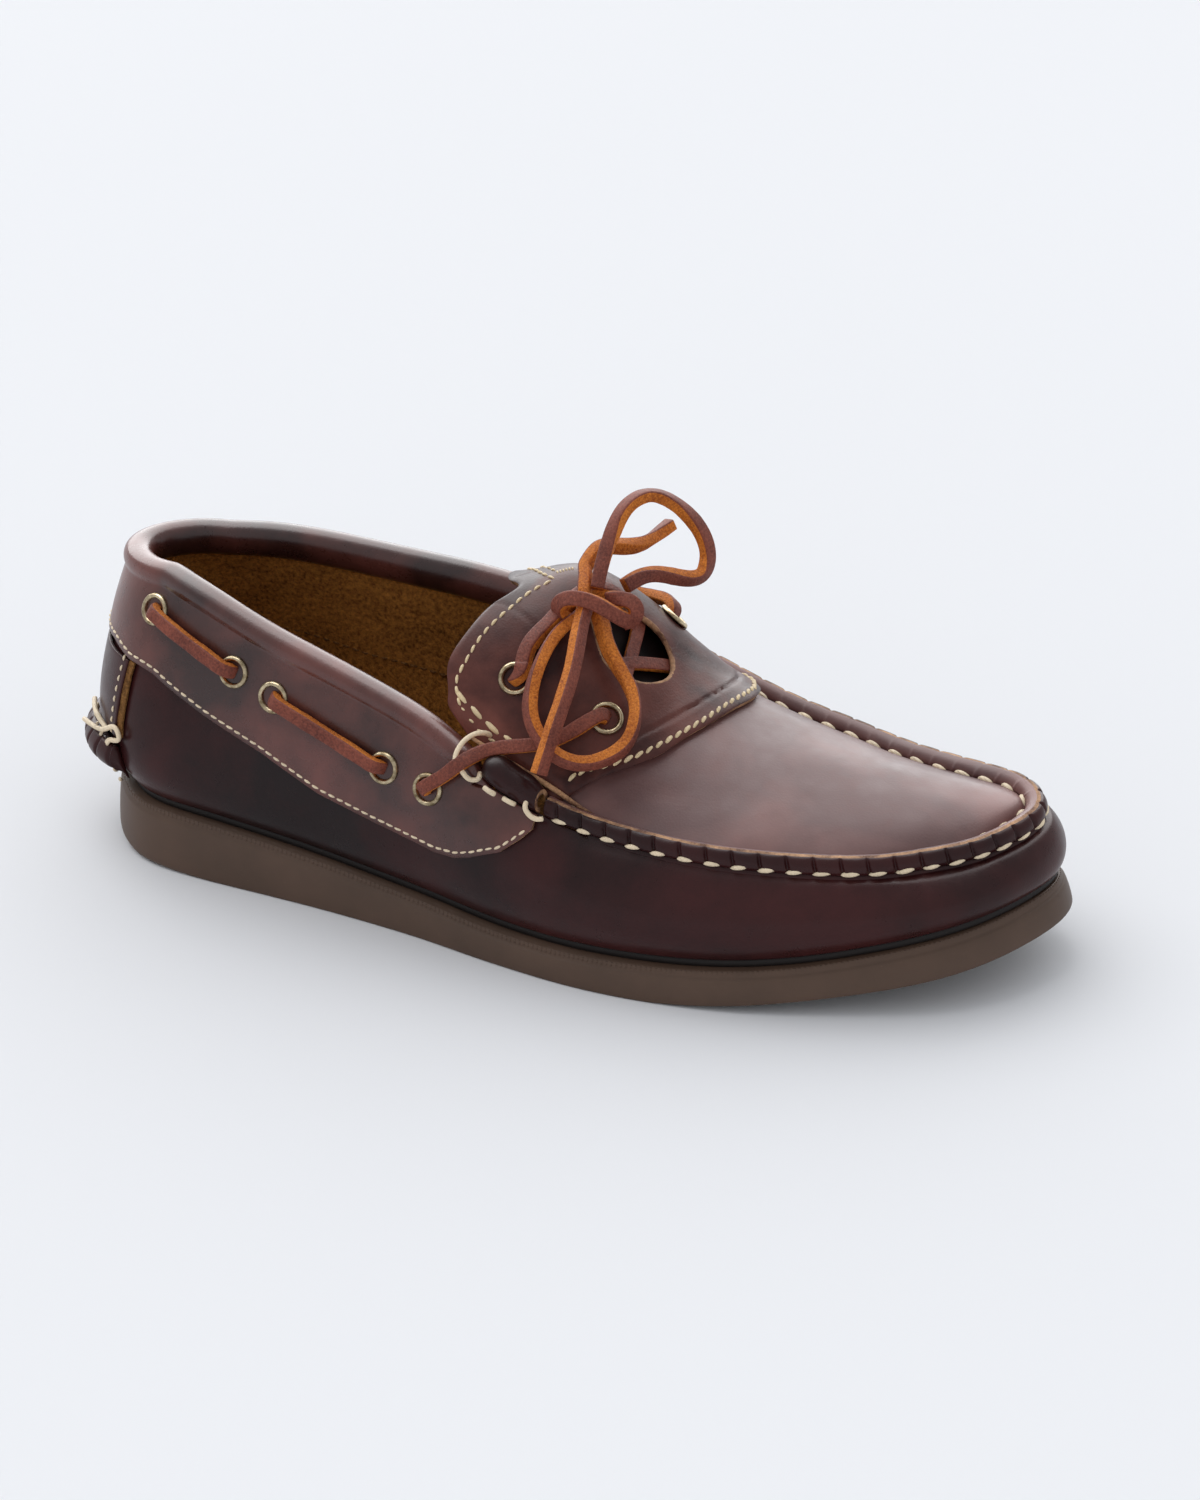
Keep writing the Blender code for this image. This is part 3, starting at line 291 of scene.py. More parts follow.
@dataclass
class Last:
    """The foot's form, from which every piece of leather takes its place."""

    feather_inset: float = 3.3
    midsole: float = 2.4
    gap: float = 0.3
    ridge_width: float = 6.0
    ledge_rise: float = 2.0
    toe_spring: float = 16.5
    spring_start: float = 190.0
    spring_power: float = 1.5

    def __post_init__(self) -> None:
        """Solve the loops that the other methods read."""
        x = ring_rows([row.x for row in SOLE], [row.x for row in SOLE])
        y = ring_rows([-row.lateral for row in SOLE], [row.medial for row in SOLE])
        plan = np.column_stack([x, y])
        runs = np.linalg.norm(np.diff(plan, axis=0), axis=1)
        self.arcs = np.concatenate([[0.0], np.cumsum(runs)])
        self.plan = Loop(self.arcs, plan)
        tops = ring_rows([row.top for row in SOLE], [row.top for row in SOLE])
        self.tops = Loop(self.arcs, tops)
        levels = ring_rows([row[1:] for row in LATERAL], [row[1:] for row in MEDIAL])
        self.levels = Loop(self.arcs, levels)
        self.stations = np.array([row.x for row in SOLE])
        self.crest_at = [*self.station([row.station for row in CREST]), float(STATIONS)]
        self.tip = self.plug_edge(np.array([float(STATIONS)]))[0]

    def station(self, x: float | Sequence[float] | Points) -> Points:
        """Station number, 0 at the heel, of a section."""
        return np.interp(x, self.stations, np.arange(STATIONS + 1))

    def column(self, x: float | Points, side: Side) -> Points:
        """Place on the ring of a section on one side."""
        here = np.atleast_1d(self.station(x))
        return here if side is Side.LATERAL else RING - here

    def section(self, column: float | Points) -> Points:
        """Section of a place on the ring, counted from the heel both ways."""
        return np.interp(np.abs(column), np.arange(STATIONS + 1), self.stations)

    def arc(self, column: Points) -> Points:
        """Arc position of places on the ring."""
        return np.interp(np.mod(column, RING), np.arange(RING + 1), self.arcs)

    def outline(self, column: Points) -> tuple[Points, Points]:
        """Point and inward normal of the sole's edge, in plan.

        Args:
            column: Places on the ring.

        Returns:
            The points and the unit normals.
        """
        arc = self.arc(column)
        tangent = unit(self.plan.at(arc + 0.5) - self.plan.at(arc - 0.5))
        return self.plan.at(arc), np.column_stack([-tangent[:, 1], tangent[:, 0]])

    def inward(self, column: Points) -> Points:
        """Level unit vectors that point into the shoe."""
        normal = self.outline(column)[1]
        return np.column_stack([normal, np.zeros(len(normal))])

    def sole_bottom(self, x: Points) -> Points:
        """Height of the sole's underside."""
        run = np.clip((x - self.spring_start) / (LENGTH - self.spring_start), 0.0, None)
        return self.toe_spring * run**self.spring_power

    def sole_top(self, column: Points) -> Points:
        """Height of the sole's upper edge."""
        return self.tops.at(self.arc(column))[:, 0]

    def ring(self, column: Points, inset: Points | float, height: Points | float) -> Points:
        """Points at an inset from the sole's edge and at a height."""
        point, inward = self.outline(column)
        return np.column_stack([point + inward * filled(inset, point)[:, None], filled(height, point)])

    def wall(self, column: Points, rise: Points | float) -> Points:
        """Outer face of the upper: rise 0 at the feather edge, 1 at the top edge.

        Args:
            column: Places on the ring.
            rise: Share of the way up the wall.

        Returns:
            One point a place.
        """
        level = self.levels.at(self.arc(column))
        feather = self.sole_top(column) + self.midsole + 2.0 * self.gap
        u = 3.0 * np.asarray(rise, float)
        shares = (
            -(u - 1.0) * (u - 2.0) * (u - 3.0) / 6.0,
            u * (u - 2.0) * (u - 3.0) / 2.0,
            -u * (u - 1.0) * (u - 3.0) / 2.0,
            u * (u - 1.0) * (u - 2.0) / 6.0,
        )
        insets = (self.feather_inset, level[:, 0], level[:, 2], level[:, 4])
        heights = (feather, level[:, 1], level[:, 3], level[:, 5])
        return self.ring(column, *(sum(share * value for share, value in zip(shares, values))
                                   for values in (insets, heights)))

    def wall_normal(self, column: Points, rise: Points | float) -> Points:
        """Outward normal of the wall.

        Args:
            column: Places on the ring.
            rise: Share of the way up the wall.

        Returns:
            Unit vectors.
        """
        step = 0.02
        turn = self.wall(column + step, rise) - self.wall(column - step, rise)
        up = self.wall(column, rise + step) - self.wall(column, rise - step)
        return unit(np.cross(turn, up))

    def wall_layer(self, column: Points, rise: Points | float, height: Points | float) -> Points:
        """Wall moved outwards by a height."""
        rise = filled(rise, column)
        return self.wall(column, rise) + self.wall_normal(column, rise) * filled(height, column)[:, None]

    def wall_length(self, column: Points) -> Points:
        """Millimetres of wall for a whole rise, measured near its top edge."""
        return np.linalg.norm(self.wall(column, 1.0) - self.wall(column, 0.95), axis=1) / 0.05

    def plug_edge(self, column: Points) -> Points:
        """Where the plug meets the inner side of the hand-sewn ridge."""
        return self.wall(column, 1.0) + self.inward(column) * self.ridge_width + UP * self.ledge_rise

    def instep(self, column: Points, across: Points | float) -> Points:
        """Arched top of the last: across is -1 at the lateral edge, 1 at the medial.

        Args:
            column: Places on the ring, on the lateral side.
            across: Places across, from -1 to 1.

        Returns:
            One point a place.
        """
        column = np.atleast_1d(np.asarray(column, float))
        across = filled(across, column)
        lateral = self.plug_edge(column)
        medial = self.plug_edge(RING - column)
        rows = [row[1:] for row in CREST] + [(*self.tip, 2.0)]
        crest = natural_spline(self.crest_at, rows, column)
        side = ((across + 1.0) / 2.0)[:, None]
        bulge = 1.0 - np.abs(across)[:, None] ** crest[:, 3:4]
        bulge_y = 1.0 - across[:, None] ** 2
        lift = (crest[:, :3] - (lateral + medial) / 2.0) * np.hstack([bulge, bulge_y, bulge])
        return lateral * (1.0 - side) + medial * side + lift

    def instep_normal(self, column: Points, across: Points | float) -> Points:
        """Upward normal of the instep.

        Args:
            column: Places on the ring, on the lateral side.
            across: Places across, from -1 to 1.

        Returns:
            Unit vectors.
        """
        column = np.atleast_1d(np.asarray(column, float))
        step = 0.05
        low = np.clip(filled(across, column), -0.95, 0.95)
        back = np.minimum(column, STATIONS - 2.0 * step)
        run = self.instep(back + step, low) - self.instep(back - step, low)
        cross = self.instep(back, low + step) - self.instep(back, low - step)
        return unit(np.cross(run, cross))

    def instep_layer(self, column: Points, across: Points, height: Points | float) -> Points:
        """Instep moved outwards by a height."""
        out = self.instep_normal(column, across)
        return self.instep(column, across) + out * filled(height, out)[:, None]

    def spot(self, x: float, across: float, height: float) -> Points:
        """One point over the instep, at a section and a place across."""
        return self.instep_layer(self.station([x]), [across], height)[0]


# ---- mesh making
def to_world(points: Points) -> Points:
    """Millimetres from the heel to metres in the frame."""
    return (np.asarray(points, float) - np.array([HALF_LENGTH, 0.0, 0.0])) * MM


def link(item: Piece) -> Piece:
    """Put an object in the scene."""
    bpy.context.scene.collection.objects.link(item)
    return item


def mesh_object(name: str, points: Points, faces: Sequence[Face], kinds: Sequence[int] | None = None,
                edges: Sequence[tuple[int, int]] = ()) -> Piece:
    """Make a mesh object from points in millimetres.

    Args:
        name: Name of the object.
        points: One row a vertex.
        faces: Vertex numbers of each face.
        kinds: Material number of each face.
        edges: Loose edges, for a path.

    Returns:
        The linked object.
    """
    mesh = bpy.data.meshes.new(name)
    mesh.from_pydata([tuple(p) for p in to_world(points)], list(edges), [tuple(f) for f in faces])
    if kinds is not None:
        mesh.polygons.foreach_set("material_index", np.asarray(kinds, dtype=np.int32))
    mesh.shade_smooth()
    return link(bpy.data.objects.new(name, mesh))


def clean(item: Piece, distance: float = 0.01, closed: bool = True) -> Piece:
    """Merge doubles, and turn the faces of a closed mesh outwards.

    Args:
        item: A mesh object.
        distance: Merge distance in millimetres.
        closed: Whether the mesh is closed.

    Returns:
        The same object.
    """
    work = bmesh.new()
    work.from_mesh(item.data)
    bmesh.ops.remove_doubles(work, verts=work.verts, dist=distance * MM)
    if closed:
        bmesh.ops.dissolve_degenerate(work, edges=work.edges, dist=distance * MM)
        bmesh.ops.recalc_face_normals(work, faces=work.faces)
    work.to_mesh(item.data)
    work.free()
    return item


def baked(item: Piece) -> Piece:
    """Keep the evaluated mesh and drop the modifiers.

    Args:
        item: Object with modifiers.

    Returns:
        The same object.
    """
    graph = bpy.context.evaluated_depsgraph_get()
    mesh = bpy.data.meshes.new_from_object(item.evaluated_get(graph), depsgraph=graph)
    item.modifiers.clear()
    item.data = mesh
    mesh.name = item.name
    return item


def grid_faces(rows: int, across: int, closed: bool = False) -> list[Face]:
    """Quads of a grid stored row by row; closed joins its last row to its first.

    Args:
        rows: Number of rows.
        across: Points in a row.
        closed: Whether the grid closes.

    Returns:
        Vertex numbers of each face.
    """
    faces = []
    for i in range(rows if closed else rows - 1):
        here, there = i * across, ((i + 1) % rows) * across
        faces += [(here + j, there + j, there + j + 1, here + j + 1) for j in range(across - 1)]
    return faces


def sheet(name: str, face: Points, closed: bool = False) -> Piece:
    """Single-sided surface through a grid of points, rows by columns by 3."""
    rows, across, _ = face.shape
    return mesh_object(name, face.reshape(-1, 3), grid_faces(rows, across, closed))


def hoop(here: int, there: int, around: int) -> list[Face]:
    """Quads between two rings, from the numbers of their first vertices."""
    return [(here + j, here + (j + 1) % around, there + (j + 1) % around, there + j) for j in range(around)]


def soften(item: Piece, width: float) -> None:
    """Round the sharp edges of a piece.

    Args:
        item: A mesh object.
        width: Width of the rounding in millimetres.
    """
    bevel = item.modifiers.new("edge", "BEVEL")
    bevel.width = width * MM
    bevel.segments = 2
    bevel.limit_method = "ANGLE"
    bevel.angle_limit = math.radians(50.0)


def thicken(item: Piece, thickness: float, rounding: float = 0.3, rim: int = 0,
            inside: int = 0) -> Piece:
    """Give a surface the thickness of leather, inwards, with rounded edges.

    Args:
        item: Surface object.
        thickness: Leather in millimetres.
        rounding: Width of the rounded edge.
        rim: Material number of the cut edge.
        inside: Material number of the inner face.

    Returns:
        The same object with its new mesh.
    """
    clean(item, closed=False)
    solid = item.modifiers.new("leather", "SOLIDIFY")
    solid.thickness = thickness * MM
    solid.offset = -1.0
    solid.use_even_offset = False
    solid.material_offset_rim = rim
    solid.material_offset = inside
    if rounding:
        soften(item, rounding)
    return item


def swept(name: str, rings: Points, closed: bool = False, kinds: Sequence[int] | None = None,
          caps: int = 0) -> Piece:
    """Solid through cross-sections of equal length.

    Args:
        name: Name of the object.
        rings: Sections by points by 3.
        closed: Join the last section to the first.
        kinds: Material number of each strip between neighbouring points.
        caps: Material number of the end caps.

    Returns:
        The linked object.
    """
    rings = np.asarray(rings, float)
    count, around, _ = rings.shape
    faces: list[Face] = []
    numbers: list[int] = []
    strips = list(kinds) if kinds is not None else [0] * around
    for i in range(count if closed else count - 1):
        faces += hoop(i * around, ((i + 1) % count) * around, around)
        numbers += strips
    if not closed:
        faces.append(tuple(range(around)))
        faces.append(tuple(range((count - 1) * around, count * around))[::-1])
        numbers += [caps, caps]
    return clean(mesh_object(name, rings.reshape(-1, 3), faces, numbers), 0.005)


def arc_lengths(route: Sequence | Points) -> Points:
    """Distance along a route at each of its points."""
    return np.concatenate([[0.0], np.cumsum(np.linalg.norm(np.diff(route, axis=0), axis=1))])


def smooth_route(route: Sequence, step: float) -> Points:
    """Points every step millimetres on a smooth curve through a route."""
    lengths = arc_lengths(route)
    return natural_spline(lengths, route, np.linspace(0.0, lengths[-1], max(6, int(lengths[-1] / step))))


# Directions of the waves that a ripple adds up.
HEADINGS = ((1.0, 0.31, -0.47), (-0.36, 1.07, 0.52), (0.44, -0.58, 0.93), (0.71, 0.66, 0.29))


def ripple(points: Points, size: float, seed: float) -> Points:
    """Smooth, repeatable unevenness between -1 and 1.

    Args:
        points: One row a vertex, in millimetres.
        size: Rough distance between bumps.
        seed: Shifts the pattern.

    Returns:
        One value a vertex.
    """
    total = np.zeros(len(points))
    for k, heading in enumerate(HEADINGS):
        phase = (points @ np.array(heading)) * 2.0 * math.pi / (size * (1.0 + 0.23 * k)) + seed * (k + 1.7)
        total += np.sin(phase + 1.3 * np.sin(phase * 0.37 + seed))
    return total / len(HEADINGS)


def full_turn(count: int) -> Points:
    """Angles of a ring's points."""
    return np.linspace(0.0, 2.0 * math.pi, count + 1)[:-1]


def oval_rings(middle: Points, side: Points, up: Points, count: int) -> Points:
    """Rings round a path, from the two half axes at each of its points."""
    rings = [middle + side * math.cos(turn) + up * math.sin(turn) for turn in full_turn(count)]
    return np.stack(rings, axis=1)


# ---- finishes
def paint(*tone: float) -> tuple[float, ...]:
    """Linear colour, with its alpha, of a tone given from 0 to 255."""
    shares = (value / 255.0 for value in tone)
    return (*(c / 12.92 if c <= 0.04045 else ((c + 0.055) / 1.055) ** 2.4 for c in shares), 1.0)


class Wiring:
    """Short way to wire a node tree."""

    def __init__(self, tree: bpy.types.NodeTree) -> None:
        """Take the tree that is to be filled."""
        self.tree = tree

    def feed(self, socket: Socket, value: object) -> None:
        """Link or set one input, or leave it where the value is None.

        Args:
            socket: Input to fill.
            value: Output to link, or a constant.
        """
        if isinstance(value, Socket):
            self.tree.links.new(value, socket)
        elif value is not None:
            socket.default_value = value

    def add(self, kind: str, inputs: dict, **settings: object) -> bpy.types.Node:
        """Add a node with its settings and inputs.

        Args:
            kind: Type of the node.
            inputs: Value of each input, by name or number.
            settings: Attributes of the node.

        Returns:
            The node.
        """
        node = self.tree.nodes.new(kind)
        for key, value in settings.items():
            setattr(node, key, value)
        for key, value in inputs.items():
            self.feed(node.inputs[key], value)
        return node

    def math(self, operation: str, *values: object) -> Socket:
        """Result of an operation on up to three values."""
        return self.add("ShaderNodeMath", dict(enumerate(values)), operation=operation).outputs[0]


class Graph(Wiring):
    """One Principled material."""

    def __init__(self, name: str) -> None:
        """Start a material that reads Object coordinates.

        Args:
            name: Name of the material.
        """
        self.material = bpy.data.materials.new(name)
        self.material.use_nodes = True
        super().__init__(self.material.node_tree)
        self.shader = self.tree.nodes["Principled BSDF"]
        self.coords = self.tree.nodes.new("ShaderNodeTexCoord").outputs["Object"]

    def stretch(self, scale: tuple[float, float, float]) -> Socket:
        """Object coordinates scaled by axis."""
        return self.add("ShaderNodeMapping", {"Vector": self.coords, "Scale": scale}).outputs["Vector"]

    def noise(self, scale: float, detail: float = 4.0, rough: float = 0.55,
              at: Socket | None = None, twist: float = 0.0) -> Socket:
        """Fractal noise at a number of features a metre.

        Args:
            scale: Features a metre.
            detail: Octaves.
            rough: Weight of the fine octaves.
            at: Coordinates, if not the plain ones.
            twist: Distortion.

        Returns:
            The noise, from 0 to 1.
        """
        inputs = {"Vector": at or self.coords, "Scale": scale, "Detail": detail, "Roughness": rough,
                  "Distortion": twist}
        return self.add("ShaderNodeTexNoise", inputs).outputs["Fac"]

    def cells(self, scale: float, feature: str = "F1") -> Socket:
        """Distance inside leather-like cells."""
        node = self.add("ShaderNodeTexVoronoi", {"Vector": self.coords, "Scale": scale}, feature=feature)
        return node.outputs["Distance"]

    def span(self, value: Socket, low: float, high: float, to_low: float = 0.0,
             to_high: float = 1.0) -> Socket:
        """Value remapped from one range to another, clamped."""
        inputs = {"Value": value, "From Min": low, "From Max": high, "To Min": to_low, "To Max": to_high}
        return self.add("ShaderNodeMapRange", inputs).outputs["Result"]

    def blend(self, share: object, first: object, second: object) -> Socket:
        """Mix of two colours."""
        return self.add("ShaderNodeMix", {0: share, 6: first, 7: second}, data_type="RGBA").outputs[2]

    def bump(self, height: Socket, depth_mm: float, strength: float = 1.0,
             normal: Socket | None = None) -> Socket:
        """Normal of a relief that is depth_mm deep."""
        inputs = {"Height": height, "Distance": depth_mm * MM, "Strength": strength, "Normal": normal}
        return self.add("ShaderNodeBump", inputs).outputs["Normal"]

    def finish(self, colour: object, roughness: object, normal: Socket | None = None,
               **constants: float) -> bpy.types.Material:
        """Wire the shader and give the material back.

        Args:
            colour: Base colour.
            roughness: Roughness.
            normal: Relief.
            constants: Other inputs, by name with _ for a space.

        Returns:
            The material.
        """
        values = {"Base_Color": colour, "Roughness": roughness, "Normal": normal, **constants}
        for key, value in values.items():
            self.feed(self.shader.inputs[key.replace("_", " ")], value)
        return self.material


@dataclass(frozen=True)
class TwoTone:
    """Finish that runs between two tones, each given from 0 to 255."""

    name: str
    slot: str
    first: Tone
    second: Tone

    def tone(self, graph: Graph, share: Socket) -> Socket:
        """Colour at a share from the first tone to the second."""
        return graph.blend(share, paint(*self.first), paint(*self.second))


@dataclass(frozen=True)
class PullUpLeather(TwoTone):
    """Waxed leather that lightens in clouds, as where it is stretched."""

    gloss: float = 0.33
    cloud_size: float = 16.0
    grain: float = 0.05
    shine: float = 0.5
    coat: float = 0.12

    def material(self) -> bpy.types.Material:
        """Build the material.

        Returns:
            The material.
        """
        graph = Graph(self.name)
        cloud = graph.noise(self.cloud_size, 3.0, 0.5, twist=0.4)
        fleck = graph.noise(130.0, 5.0, 0.65)
        share = graph.math("ADD", graph.span(cloud, 0.38, 0.66), graph.span(fleck, 0.35, 0.75, -0.12, 0.18))
        colour = self.tone(graph, graph.span(share, 0.0, 1.2))
        rough = graph.span(fleck, 0.3, 0.7, self.gloss - 0.05, self.gloss + 0.09)
        pores = graph.bump(graph.cells(1500.0), self.grain, 0.5)
        normal = graph.bump(graph.noise(380.0, 3.0, 0.6), self.grain * 1.4, 0.5, pores)
        return graph.finish(colour, rough, normal, Specular_IOR_Level=self.shine, Coat_Weight=self.coat,
                            Coat_Roughness=0.2)


@dataclass(frozen=True)
class Suede(TwoTone):
    """Napped lining."""

    def material(self) -> bpy.types.Material:
        """Build the material.

        Returns:
            The material.
        """
        graph = Graph(self.name)
        nap = graph.noise(820.0, 4.0, 0.7)
        brushed = graph.noise(60.0, 4.0, 0.6, graph.stretch((0.5, 1.0, 1.0)))
        share = graph.math("ADD", graph.span(nap, 0.3, 0.7, -0.1, 0.8),
                           graph.span(brushed, 0.3, 0.7, 0.0, 0.3))
        return graph.finish(self.tone(graph, share), 0.95, graph.bump(nap, 0.6), Specular_IOR_Level=0.1)


@dataclass(frozen=True)
class LaceLeather(TwoTone):
    """Rawhide lace: a pebbled grain side or fibrous cut sides."""

    fibre: float

    def material(self) -> bpy.types.Material:
        """Build the material.

        Returns:
            The material.
        """
        graph = Graph(self.name)
        pebble = graph.cells(1300.0, "SMOOTH_F1")
        nap = graph.noise(1500.0, 3.0, 0.7)
        cloud = graph.noise(90.0, 3.0, 0.6)
        share = graph.math("ADD", graph.span(nap, 0.32, 0.68, 0.0, 0.7),
                           graph.span(cloud, 0.3, 0.7, -0.1, 0.4))
        normal = graph.bump(nap, self.fibre, 0.9, graph.bump(pebble, 0.12, 0.6))
        return graph.finish(self.tone(graph, share), 0.55 + 0.4 * self.fibre, normal, Specular_IOR_Level=0.3)


@dataclass(frozen=True)
class CutEdge(TwoTone):
    """Raw cut edge of veg-tanned leather."""

    def material(self) -> bpy.types.Material:
        """Build the material.

        Returns:
            The material.
        """
        graph = Graph(self.name)
        layers = graph.noise(1200.0, 4.0, 0.7)
        patches = graph.noise(140.0, 2.0, 0.6)
        share = graph.math("ADD", graph.span(layers, 0.3, 0.7, 0.0, 0.6),
                           graph.span(patches, 0.35, 0.65, -0.3, 0.5))
        return graph.finish(self.tone(graph, share), 0.85, graph.bump(layers, 0.2, 0.8))


@dataclass(frozen=True)
class WaxedThread:
    """Cream thread with a twist."""

    name: str
    slot: str
    tone: Tone

    def material(self) -> bpy.types.Material:
        """Build the material.

        Returns:
            The material.
        """
        graph = Graph(self.name)
        twist = graph.add("ShaderNodeTexWave", {"Vector": graph.coords, "Scale": 420.0, "Distortion": 3.0},
                          bands_direction="DIAGONAL").outputs["Fac"]
        soil = graph.span(graph.noise(160.0, 3.0, 0.6), 0.35, 0.75, 0.0, 0.4)
        darker = tuple(c * 0.62 for c in self.tone)
        colour = graph.blend(soil, paint(*self.tone), paint(*darker))
        return graph.finish(colour, 0.6, graph.bump(twist, 0.12, 0.7))


@dataclass(frozen=True)
class SoleRubber:
    """Moulded rubber, with or without wave siping underneath."""

    name: str
    slot: str
    tone: Tone
    roughness: float = 0.5
    siping: float = 0.0

    def material(self) -> bpy.types.Material:
        """Build the material.

        Returns:
            The material.
        """
        graph = Graph(self.name)
        cloud = graph.noise(28.0, 4.0, 0.6)
        speck = graph.span(graph.noise(700.0, 2.0, 0.5), 0.72, 0.80, 0.0, 0.3)
        darker = tuple(c * 0.84 for c in self.tone)
        lighter = tuple(min(255.0, c * 1.25) for c in self.tone)
        colour = graph.blend(graph.span(cloud, 0.3, 0.7), paint(*darker), paint(*self.tone))
        colour = graph.blend(speck, colour, paint(*lighter))
        normal = graph.bump(graph.noise(260.0, 4.0, 0.6), 0.05, 0.6)
        if self.siping:
            wave = graph.add("ShaderNodeTexWave", {"Vector": graph.stretch((1.0, 0.35, 0.0)), "Scale": 70.0,
                             "Distortion": 2.2, "Detail": 0.0}, bands_direction="X").outputs["Fac"]
            normal = graph.bump(graph.span(wave, 0.0, 0.25), self.siping, 1.0, normal)
        return graph.finish(colour, self.roughness, normal, Specular_IOR_Level=0.3)


@dataclass(frozen=True)
class AntiqueBrass(TwoTone):
    """Worn brass of the eyelets, bright and dull."""

    def material(self) -> bpy.types.Material:
        """Build the material.

        Returns:
            The material.
        """
        graph = Graph(self.name)
        wear = graph.span(graph.noise(420.0, 4.0, 0.65), 0.35, 0.68)
        rough = graph.span(wear, 0.0, 1.0, 0.24, 0.42)
        normal = graph.bump(graph.noise(900.0, 2.0, 0.5), 0.03, 0.6)
        return graph.finish(self.tone(graph, wear), rough, normal, Metallic=1.0)


class Finish(Enum):
    """Every finish on the shoe."""

    WALL = PullUpLeather("burgundy_wall", "burgundy_leather",
        (26, 12, 13), (64, 27, 27), 0.30, 16.0, 0.04, 0.2, 0.04)
    # The plug's tones are lighter than the wall's, though it is the same burgundy leather: painted
    # reflection, the pale sheen of the bright room on the plug's top.
    PLUG = PullUpLeather("burgundy_plug", "burgundy_leather",
        (84, 50, 48), (124, 82, 77), 0.5, 26.0, 0.04, 0.5, 0.08)
    # The stay's lighter second tone is partly painted sheen, the warm reflection on its top, given as colour
    # in place of specular shine.
    STAY = PullUpLeather("burgundy_stay", "burgundy_leather",
        (50, 26, 25), (124, 72, 62), 0.34, 30.0, 0.07, 0.16, 0.02)
    COLLAR = PullUpLeather("red_brown_collar", "red_brown_leather",
        (48, 24, 22), (112, 60, 52), 0.28, 26.0, 0.04, 0.5)
    # The tongue's near-black tones are painted shade: the same burgundy leather, darkened where it lies in
    # shadow under the saddle and keyhole.
    TONGUE = PullUpLeather("dark_tongue", "burgundy_leather",
        (14, 8, 8), (28, 16, 15), 0.5, 40.0, 0.05, 0.08, 0.0)
    LINING = Suede("suede_lining", "suede", (92, 53, 20), (206, 138, 66))
    FOOTBED = Suede("footbed_suede", "suede", (62, 38, 14), (124, 82, 38))
    STRIP = Suede("suede_strip", "suede", (72, 46, 24), (150, 106, 60))
    LACE_GRAIN = LaceLeather("lace_grain", "lace_leather", (80, 34, 26), (146, 78, 60), 0.15)
    LACE_FLESH = LaceLeather("lace_flesh", "lace_leather", (142, 64, 14), (236, 142, 52), 0.6)
    EDGE = CutEdge("cut_edge", "burgundy_leather", (92, 56, 36), (206, 158, 116))
    DARK_EDGE = CutEdge("burnished_edge", "burgundy_leather", (40, 24, 21), (108, 74, 56))
    THREAD = WaxedThread("cream_thread", "burgundy_leather", (238, 218, 186))
    FINE_THREAD = WaxedThread("fine_thread", "burgundy_leather", (232, 208, 164))
    RUBBER = SoleRubber("taupe_rubber", "outsole_rubber", (92, 71, 58))
    TREAD = SoleRubber("taupe_tread", "outsole_rubber", (74, 60, 50), 0.6, 0.9)
    # The band's near-black tone is partly the rubber's own colour and partly painted shade of the recessed
    # gap between sole and upper.
    BAND = SoleRubber("dark_band", "midsole_rubber", (24, 18, 16), 0.6)
    BRASS = AntiqueBrass("antique_brass", "brass", (206, 190, 158), (116, 100, 74))
    # Near-black finish of the discs in the eyelet bores: painted shade of the holes.
    BORE = SoleRubber("eyelet_bore", "brass", (5, 4, 4), 1.0)


LACE = (Finish.LACE_GRAIN, Finish.LACE_FLESH)


@cache
def stuff(finish: Finish) -> bpy.types.Material:
    """Material of a finish, built once."""
    return finish.value.material()


def coat(item: Piece, finishes: Sequence[Finish]) -> None:
    """Set a mesh's materials and keep the material number of each face.

    Args:
        item: A mesh object.
        finishes: One finish for each material number.
    """
    numbers = np.zeros(len(item.data.polygons), dtype=np.int32)
    item.data.polygons.foreach_get("material_index", numbers)
    item.data.materials.clear()
    for finish in finishes:
        item.data.materials.append(stuff(finish))
    item.data.polygons.foreach_set("material_index", numbers)


def dress(item: Piece, finishes: Sequence[Finish], nodes: Sequence[str] = ()) -> None:
    """Give a piece its materials, its body and the solids that it stands for.

    Args:
        item: Finished or modified object at the origin.
        finishes: One finish for each material number.
        nodes: CAD nodes that the piece stands for.
    """
    coat(item, finishes)
    if item.modifiers:
        baked(item)
    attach(item, BODY)
    if nodes:
        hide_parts(*nodes)
    LOG.info("%s: %d faces", item.name, len(item.data.polygons))


